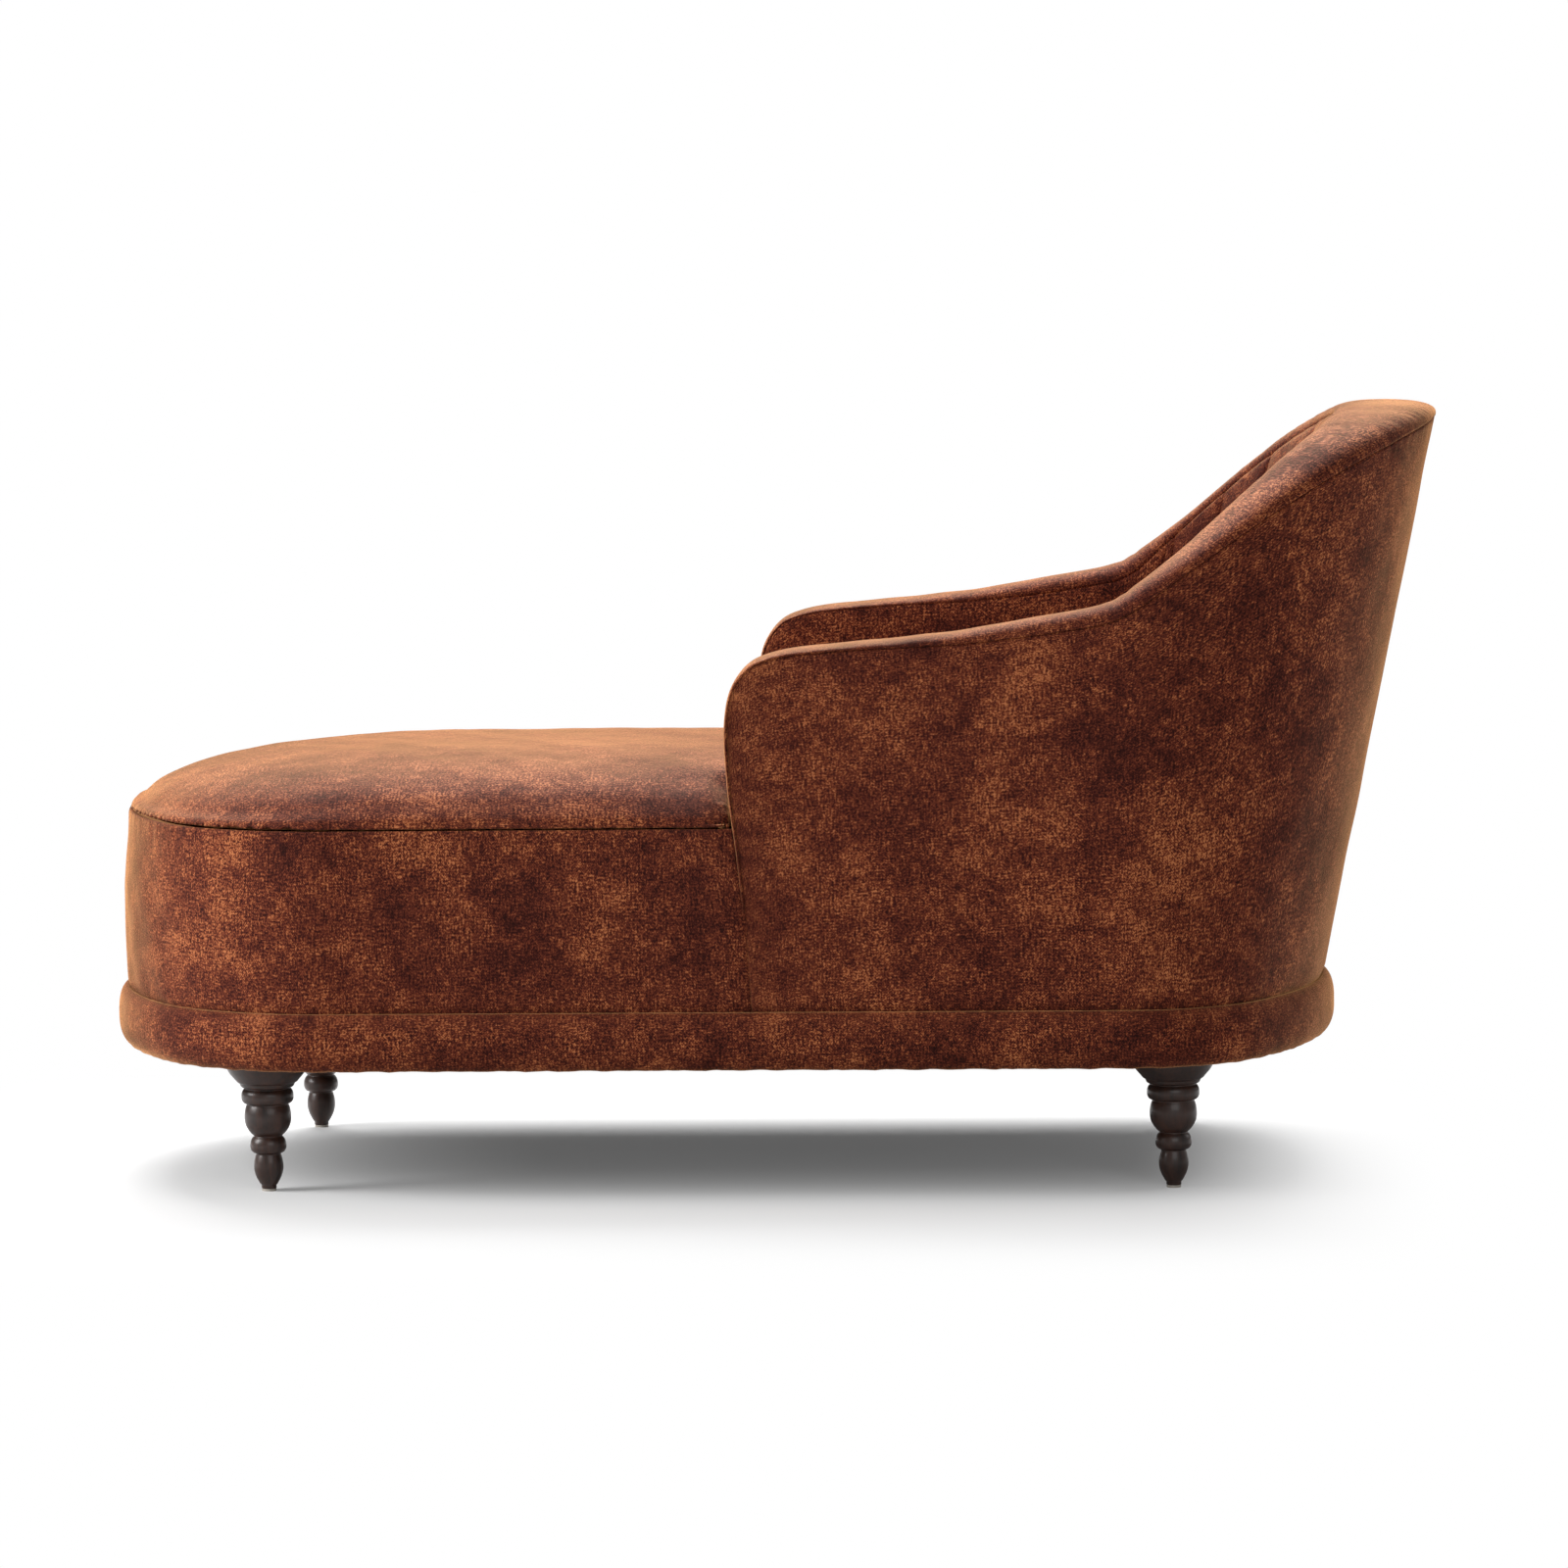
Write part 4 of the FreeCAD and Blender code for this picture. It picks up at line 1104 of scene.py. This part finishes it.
@dataclass
class OutsideCover(LaidCover):
    """The outer skin of arms and back, leaning outwards behind."""

    bottom: float = 232.0
    columns: int = 330
    roll: float = 4.0
    corner_share: float = 0.12
    corner_length: float = 75.0

    def half_place(self, u: Array, v: Array) -> Array:
        """Points of the near half, with more columns near the arm's rounded front corner.

        Args:
            u: From 0 at the arm's front to 1 at the middle of the back.
            v: From 0 at the base band to 1 at the rim.

        Returns:
            A row per point.
        """
        share, corner, start = self.corner_share, self.corner_length, self.rim.start
        rest = (u - share) / (1.0 - share) * (self.plan.middle - start - corner)
        run = start + np.where(u < share, (u / share) ** 1.6 * corner, corner + rest)
        top = self.rim.top(run)
        z = self.bottom + (top - self.bottom) * (1.0 - (1.0 - v) ** 1.15)
        run = self.rim.from_front(run, z)
        ahead = np.maximum(run - self.rim.front(z), 0.0)
        edge = np.minimum(top - z, np.where(run < 60.0, ahead, 1e9))
        near_seam = 1.0 - smooth_step(3.0, 34.0, edge)
        inset = self.roll * rounded(np.clip(1.0 - edge / self.roll, 0.0, 1.0))
        inset = inset + (waver(41, (run, 42.0)) * 0.5 + 0.5) * 0.9 * near_seam
        inset = inset + (waver(42, (run, 260.0), (z, 320.0)) + 1.0) * 0.8 + self.plan.groove(z)
        x, y, _, _ = self.plan.wall(run, z, inset, inset)
        return np.stack([x, y, z], axis=1)

    def place(self, u: Array, v: Array) -> Array:
        """Points of the whole skin, mirrored across the middle."""
        near = u <= 0.5
        points = self.half_place(np.where(near, u, 1.0 - u) * 2.0, v)
        points[:, 1] *= np.where(near, 1.0, -1.0)
        return points

    def make(self) -> Piece:
        """Build the skin."""
        length = 2.0 * (self.plan.middle - self.rim.start)
        piece = self.lay("outside_cover_skin", (2 * self.columns, 110), (length, 560.0))
        back_up(piece, 6.0, 350.0, (1.0, 1.5))
        return self.finish(piece, 0.9, "outside_cover", "outside_wadding")


@dataclass
class PaddedRim(LaidCover):
    """The rolled border along the arms and over the back."""

    rest: float = 0.3
    fullness: float = 2.5
    belly: float = 5.0
    face: float = 0.72
    steps: int = 420
    around: int = 40

    def table(self, count: int) -> Array:
        """What the rim follows along its near half.

        Args:
            count: How many stations.

        Returns:
            Twelve rows: seam point, inward and up directions, thickness, crown and run.
        """
        run, z, crown = self.rim.points(count).T
        x, y, nx, ny = self.plan.wall(run, z, 0.0, 0.0)
        seam = np.stack([x, y, z], axis=1)
        outward = np.stack([nx, ny, np.zeros_like(nx)], axis=1)
        along = np.gradient(seam, axis=0)
        along[0] = seam[1] - seam[0]
        along[-1] = seam[-2] * np.array([1.0, -1.0, 1.0]) - seam[-2]
        along /= np.linalg.norm(along, axis=1, keepdims=True)
        up = np.cross(outward, along)
        up /= np.linalg.norm(up, axis=1, keepdims=True)
        thick = self.plan.thickness(self.plan.angle(run))
        return np.vstack([seam.T, -outward.T, up.T, thick, crown, run])

    def place(self, u: Array, v: Array) -> Array:
        """Points of the rim, u along it and v round its closed section."""
        near = u <= 0.5
        half = np.where(near, u, 1.0 - u) * 2.0
        stations = 900
        grid = np.linspace(0.0, 1.0, stations)
        rows = np.array([np.interp(half, grid, row) for row in self.table(stations)])
        seam, inward, up = rows[0:3].T, rows[3:6].T, rows[6:9].T
        thick, crown, run = rows[9:]
        below = v > self.face
        turn = np.cos(np.pi * (1.0 - np.clip(v / self.face, 0.0, 1.0)))
        under = np.clip((v - self.face) / (1.0 - self.face), 0.0, 1.0)
        across = 0.5 + 0.5 * np.sign(turn) * np.abs(turn) ** 0.62
        rise = (1.0 - np.abs(2.0 * across - 1.0) ** self.fullness) ** (1.0 / self.fullness)
        across = np.where(below, 1.0 - under, across)
        rise = np.where(below, 0.0, rise)
        edge = np.exp(-((across - 0.06) / 0.09) ** 2) + np.exp(-((across - 0.94) / 0.09) ** 2)
        lump = waver(51, (run, 48.0)) * 0.8 * edge + waver(52, (run, 230.0)) * 1.1
        bend = (np.exp(-((run - 452.0) / 9.0) ** 2) * (1.0 - across) * 2.6
                + np.exp(-((run - 470.0) / 6.0) ** 2) * 1.2)
        height = rise * (crown - self.rest + np.where(below, 0.0, lump - bend) * (rise > 0))
        ends = smooth_step(0.0, 0.004, half)
        across = 0.5 + (across - 0.5) * ends
        height = self.rest + height * ends - np.where(below, self.belly * np.sin(np.pi * under) ** 0.5, 0.0)
        point = seam + inward * (across * thick)[:, None] + up * height[:, None]
        point[:, 1] *= np.where(near, 1.0, -1.0)
        return point

    def make(self) -> Piece:
        """Build the rim."""
        line = self.rim.points(400)[:, :2]
        length = 2.0 * np.linalg.norm(np.diff(line, axis=0), axis=1).sum()
        piece = self.lay("padded_rim", (2 * self.steps, self.around), (length, 170.0))
        tidy_mesh(piece)
        return self.finish(piece, 0.85, "rim_cover", "rim_foam")


@dataclass
class ArmInside(LaidCover):
    """The flat padded inside of one arm."""

    side: float = -1.0
    bottom: float = 440.0

    def place(self, u: Array, v: Array) -> Array:
        """Points of the pad's face, slightly full, with its edges drawn in."""
        last = self.plan.run_at(self.plan.seam_turn + 0.5)
        run = self.rim.start + (last - self.rim.start) * u
        top = self.rim.inner_top(run) + 0.6
        z = self.bottom + (top - self.bottom) * v
        run = self.rim.from_front(run, z)
        ahead = np.maximum(run - self.rim.front(z), 0.0)
        edge = np.minimum(np.minimum(top - z, ahead), last - run)
        full = 4.5 * (1.0 - np.exp(-edge / 14.0)) - 1.5
        full = full + waver(61, (run, 52.0)) * 0.6 * np.exp(-edge / 18.0)
        full = full + waver(62, (run, 240.0), (z, 170.0)) * 0.8
        x, y, _, _ = self.plan.wall(run, z, self.plan.arm_wall + full, self.plan.back_wall + full)
        return np.stack([x, y * -self.side, z], axis=1)

    def make(self) -> Piece:
        """Build the pad."""
        hand = "left" if self.side < 0 else "right"
        piece = self.lay("arm_inside_" + hand, (130, 60), (525.0, 260.0), 2000.0)
        back_up(piece, 12.0, 0.0, (0.0, -1.0))
        return self.finish(piece, 0.8, "arm_cover_" + hand, "arm_pad_" + hand)


@dataclass
class BackInside(LaidCover):
    """The channelled inside of the back, with channels every so many degrees of turn."""

    bottom: float = 440.0
    pitch: float = 18.0
    depth: float = 7.5

    def place(self, u: Array, v: Array) -> Array:
        """Points of the pad's face: u from the near seam round to the far one."""
        first = self.plan.seam_turn
        turn = first + (180.0 - 2.0 * first) * u
        near = turn <= 90.0
        folded = np.where(near, turn, 180.0 - turn)
        turns = np.linspace(0.0, 90.0, 200)
        run = np.interp(folded, turns, self.plan.run_at(turns))
        top = self.rim.inner_top(run) + 0.6
        z = self.bottom + (top - self.bottom) * v
        phase = folded / self.pitch
        across = np.abs(phase - np.floor(phase) - 0.5) * 2.0
        bulge = self.depth * np.sqrt(np.clip(1.0 - across ** 2.6, 0.0, 1.0))
        settle = 1.0 - 0.55 * smooth_step(40.0, 0.0, top - z)
        edge = np.minimum(top - z, (folded - first) * 3.0)
        draw = 3.0 * np.exp(-np.maximum(edge, 0.0) / 7.0)
        full = bulge * settle - draw + waver(71, (run, 60.0), (z, 90.0)) * 0.5
        x, y, _, _ = self.plan.wall(run, z, self.plan.arm_wall + full, self.plan.back_wall + full)
        return np.stack([x, y * np.where(near, 1.0, -1.0), z], axis=1)

    def make(self) -> Piece:
        """Build the pad."""
        piece = self.lay("back_inside", (420, 90), (1000.0, 480.0), 5000.0)
        back_up(piece, 12.0, 450.0, (-1.0, -1.0))
        return self.finish(piece, 0.85, "back_cover", "back_pad")


# ---------------------------------------------------------------- legs


@dataclass
class TurnedLegs:
    """Four turned legs: vase foot, rings and ball under a flared cup.

    The profile's rows are height and radius, from the floor up.
    """

    finish: bpy.types.Material
    front_x: float = -625.0
    rear_x: float = 511.0
    side_y: float = 290.0
    top: float = 165.0
    steps: int = 72
    profile: Rows = (
        (3.0, 8.6), (3.6, 9.3), (7.3, 9.5), (8.4, 10.6), (13.4, 13.6), (20.0, 16.6), (26.0, 18.1),
        (31.1, 18.5), (37.0, 18.1), (42.5, 16.9), (46.5, 15.7), (47.6, 15.4), (48.3, 17.6), (50.2, 20.4),
        (54.0, 22.3), (58.0, 22.7), (62.0, 22.2), (66.0, 20.6), (68.6, 18.6), (69.6, 17.6), (71.0, 18.8),
        (73.5, 21.4), (77.0, 24.3), (83.0, 27.6), (90.0, 29.3), (95.2, 29.5), (101.0, 29.0), (106.5, 27.6),
        (109.8, 26.3), (110.5, 26.0), (111.2, 28.6), (113.4, 31.2), (117.0, 32.7), (120.4, 32.9),
        (124.0, 32.5), (127.6, 31.0), (129.8, 29.0), (130.6, 28.4), (131.2, 30.6), (133.0, 33.2),
        (136.0, 34.6), (137.2, 35.4), (138.4, 37.6), (141.5, 40.3), (145.5, 43.8), (150.0, 47.4),
        (156.0, 50.6), (161.0, 52.2), (165.0, 52.6))

    def make_one(self, name: str, x: float, y: float) -> Piece:
        """Turn one leg by spinning half its outline.

        Args:
            name: The leg's name.
            x: Where its axis stands.
            y: Where its axis stands.

        Returns:
            The leg.
        """
        deselect()
        bpy.ops.mesh.primitive_plane_add(size=0.01, location=(0.0, 0.0, 0.0))
        piece = named(name)
        rows = smooth_curve(self.profile, 150)
        path = [(0.0, rows[0][0])] + [(r, z) for z, r in rows] + [(0.0, self.top)]
        edit_all(piece)
        bpy.ops.mesh.merge(type="CENTER")
        bpy.ops.mesh.select_all(action="SELECT")
        bpy.ops.transform.translate(value=(0.0, 0.0, path[0][1] * MM))
        for (r0, z0), (r1, z1) in zip(path, path[1:]):
            step = ((r1 - r0) * MM, 0.0, (z1 - z0) * MM)
            bpy.ops.mesh.extrude_region_move(TRANSFORM_OT_translate={"value": step})
        bpy.ops.mesh.select_all(action="SELECT")
        bpy.ops.mesh.spin(steps=self.steps, angle=2.0 * math.pi, center=(0.0, 0.0, 0.0), axis=(0.0, 0.0, 1.0),
                          use_auto_merge=True)
        bpy.ops.mesh.select_all(action="SELECT")
        bpy.ops.mesh.remove_doubles(threshold=0.02 * MM)
        bpy.ops.mesh.normals_make_consistent(inside=False)
        bpy.ops.transform.translate(value=(x * MM, y * MM, 0.0))
        bpy.ops.object.mode_set(mode="OBJECT")
        bpy.ops.object.shade_smooth()
        dress(piece, self.finish)
        return piece

    def make(self) -> None:
        """Build the four legs."""
        for end, x in (("front", self.front_x), ("rear", self.rear_x)):
            for hand, y in (("left", -self.side_y), ("right", self.side_y)):
                leg = self.make_one(f"turned_leg_{end}_{hand}", x, y)
                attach(leg, BODY)
                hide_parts(f"leg_{end}_{hand}")
                LOG.info("%s: %d faces", leg.name, len(leg.data.polygons))


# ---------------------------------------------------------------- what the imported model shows


@dataclass
class Carcass:
    """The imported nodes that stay: frame, fixings, webbing and dust cover."""

    nodes: dict
    record: dict

    def finishes(self) -> dict[str, bpy.types.Material]:
        """One detailed finish for each slot that a kept node uses."""
        kinds = {
            Slot.LEG: TurnedWood(),
            Slot.GLIDE: Hard("glide_nylon", (0.42, 0.38, 0.33), 0.7, 240.0, (0.5, 0.2), 0.15),
            Slot.STEEL: Hard("zinc_steel", (0.55, 0.55, 0.52), 1.25, 120.0, (0.28, 0.25), 0.08, 1.0),
            Slot.FRAME: SawnWood("frame_timber", (0.50, 0.33, 0.17), (0.30, 0.17, 0.08)),
            Slot.PLY: SawnWood("bending_plywood", (0.58, 0.43, 0.26), (0.38, 0.26, 0.14), 9.0),
            Slot.DUST: PlainCloth("dust_cloth", (0.012, 0.012, 0.012), (0.035, 0.034, 0.033), 1.2),
            Slot.WEBBING: PlainCloth("jute_webbing", (0.20, 0.13, 0.07), (0.42, 0.31, 0.18), 3.0),
            Slot.FELT: PlainCloth("pressed_felt", (0.22, 0.21, 0.20), (0.40, 0.38, 0.35), 5.0),
        }
        return {slot.value: kind.make() for slot, kind in kinds.items()}

    def make(self, finishes: dict[str, bpy.types.Material], velvet: bpy.types.Material) -> None:
        """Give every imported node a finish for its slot.

        Args:
            finishes: The finishes by slot.
            velvet: The finish of every other slot.
        """
        slots = {row["node"]: row["material_slot"] for row in self.record["subparts"]}
        for name, node in self.nodes.items():
            dress(node, finishes.get(slots.get(name, ""), velvet))
        LOG.info("dressed %d packed nodes", len(self.nodes))


# ---------------------------------------------------------------- studio


@dataclass(frozen=True)
class Lamp:
    """One soft box, with its place and aim in metres."""

    name: str
    place: tuple[float, float, float]
    aim: tuple[float, float, float]
    size: tuple[float, float]
    power: float

    def make(self) -> None:
        """Hang the lamp."""
        light = bpy.data.lights.new(self.name, "AREA")
        light.shape = "RECTANGLE"
        light.size, light.size_y = self.size
        light.energy = self.power
        lamp = bpy.data.objects.new(self.name, light)
        bpy.context.scene.collection.objects.link(lamp)
        lamp.location = self.place
        lamp.rotation_mode = "QUATERNION"
        lamp.rotation_quaternion = (Vector(self.aim) - Vector(self.place)).to_track_quat("-Z", "Y")


@dataclass(frozen=True)
class Studio:
    """White floor, soft light and the camera at the photograph's viewing angle."""

    focal_px: float = 8225.2
    frame_px: float = 1600.0
    eye: tuple[float, float, float] = (609.6, -10274.3, 1469.8)
    yaw: float = 0.0580334
    pitch: float = 0.0957918
    roll: float = 0.0124635
    soft_light: float = 0.34
    lamps: tuple[Lamp, ...] = (
        Lamp("key_left", (-3.6, -0.9, 2.1), (-0.4, 0.0, 0.4), (1.8, 2.0), 178.0),
        Lamp("top_back", (-0.5, 2.5, 3.5), (-0.1, 0.0, 0.3), (4.2, 3.0), 430.0),
        Lamp("front_fill", (1.3, -4.7, 1.9), (0.2, 0.0, 0.45), (3.2, 2.2), 50.0),
        Lamp("right_rim", (3.2, 1.4, 2.0), (0.6, 0.0, 0.6), (1.2, 2.0), 16.0),
    )

    def camera(self) -> None:
        """Set up the camera."""
        forward = Vector((-math.sin(self.yaw) * math.cos(self.pitch), math.cos(self.yaw) * math.cos(self.pitch),
                          -math.sin(self.pitch)))
        right = Vector((math.cos(self.yaw), math.sin(self.yaw), 0.0))
        up = right.cross(forward)
        across = right * math.cos(self.roll) - up * math.sin(self.roll)
        upright = right * math.sin(self.roll) + up * math.cos(self.roll)
        data = bpy.data.cameras.new("camera")
        data.sensor_width = 36.0
        data.lens = self.focal_px / self.frame_px * data.sensor_width
        data.clip_start, data.clip_end = 0.5, 60.0
        camera = bpy.data.objects.new("camera", data)
        bpy.context.scene.collection.objects.link(camera)
        turn = Matrix((across, upright, -forward)).transposed()
        camera.matrix_world = Matrix.Translation(Vector(self.eye) * MM) @ turn.to_4x4()
        bpy.context.scene.camera = camera

    def floor(self) -> None:
        """Lay a pale floor that keeps the shadow near the object and fades to white round it."""
        deselect()
        bpy.ops.mesh.primitive_plane_add(size=40.0, location=(0.0, 0.0, 0.0))
        floor = named("floor")
        s = Shader("white_paper")
        dust = s.noise(3.0, 3.0, 0.5)
        s.set(Base_Color=s.mix(dust, (0.62, 0.62, 0.62), (0.66, 0.66, 0.66)), Roughness=0.95,
              Specular_IOR_Level=0.0)
        x, y, _ = s.parts(s.place())
        # Painted light on the floor, for the camera only: a white glow whitens the floor away from the object,
        # fading out the real shadow there, and lifts the shadow near the object by 8 parts in 100.
        near = ((1.0 - (x + 0.15).size().stretch(0.60, 1.0).ease())
                * (1.0 - (y * -1.0).stretch(0.10, 1.05).ease()) * (1.0 - y.stretch(0.20, 0.80).ease()))
        seen = Value(s.tree, s.node("ShaderNodeLightPath").outputs["Is Camera Ray"])
        glow = s.node("ShaderNodeEmission", None, {"Color": WHITE, "Strength": 1.0})
        blend = s.node("ShaderNodeMixShader", None,
                       {0: (1.0 - near * 0.92) * seen, 1: s.main.outputs[0], 2: glow.outputs[0]})
        s.tree.links.new(blend.outputs[0], s.out.inputs[0])
        dress(floor, s.material)

    def world(self) -> None:
        """A soft even surround that the camera sees as white."""
        world = bpy.context.scene.world = bpy.data.worlds.new("surround")
        world.use_nodes = True
        tree = world.node_tree
        tree.nodes.clear()
        soft, white = (add_node(tree, "ShaderNodeBackground", None, {0: WHITE, 1: strength}).outputs[0]
                       for strength in (self.soft_light, 1.0))
        seen = add_node(tree, "ShaderNodeLightPath").outputs["Is Camera Ray"]
        mix = add_node(tree, "ShaderNodeMixShader", None, {0: seen, 1: soft, 2: white})
        add_node(tree, "ShaderNodeOutputWorld", None, {0: mix.outputs[0]})

    def make(self) -> None:
        """Build the studio."""
        self.camera()
        self.floor()
        self.world()
        for lamp in self.lamps:
            lamp.make()
        bpy.context.scene.view_settings.view_transform = "Standard"


def main() -> None:
    """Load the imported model, dress it and set up the studio."""
    logging.basicConfig(level=logging.INFO, format="%(name)s: %(message)s")
    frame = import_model()
    Studio().make()
    plan = Plan()
    rim = RimLine(plan)
    velvet = Velvet().make()
    carcass = Carcass(frame["nodes"], frame["record"])
    finishes = carcass.finishes()
    TurnedLegs(finishes[Slot.LEG.value]).make()
    BaseBand(plan, rim, velvet).make()
    SeatBorder(plan, rim, velvet).make()
    SeatTop(plan, rim, velvet, frame["nodes"]).make()
    OutsideCover(plan, rim, velvet).make()
    PaddedRim(plan, rim, velvet).make()
    for side in (-1.0, 1.0):
        ArmInside(plan, rim, velvet, side).make()
    BackInside(plan, rim, velvet).make()
    carcass.make(finishes, velvet)


if __name__ == "__main__":
    main()
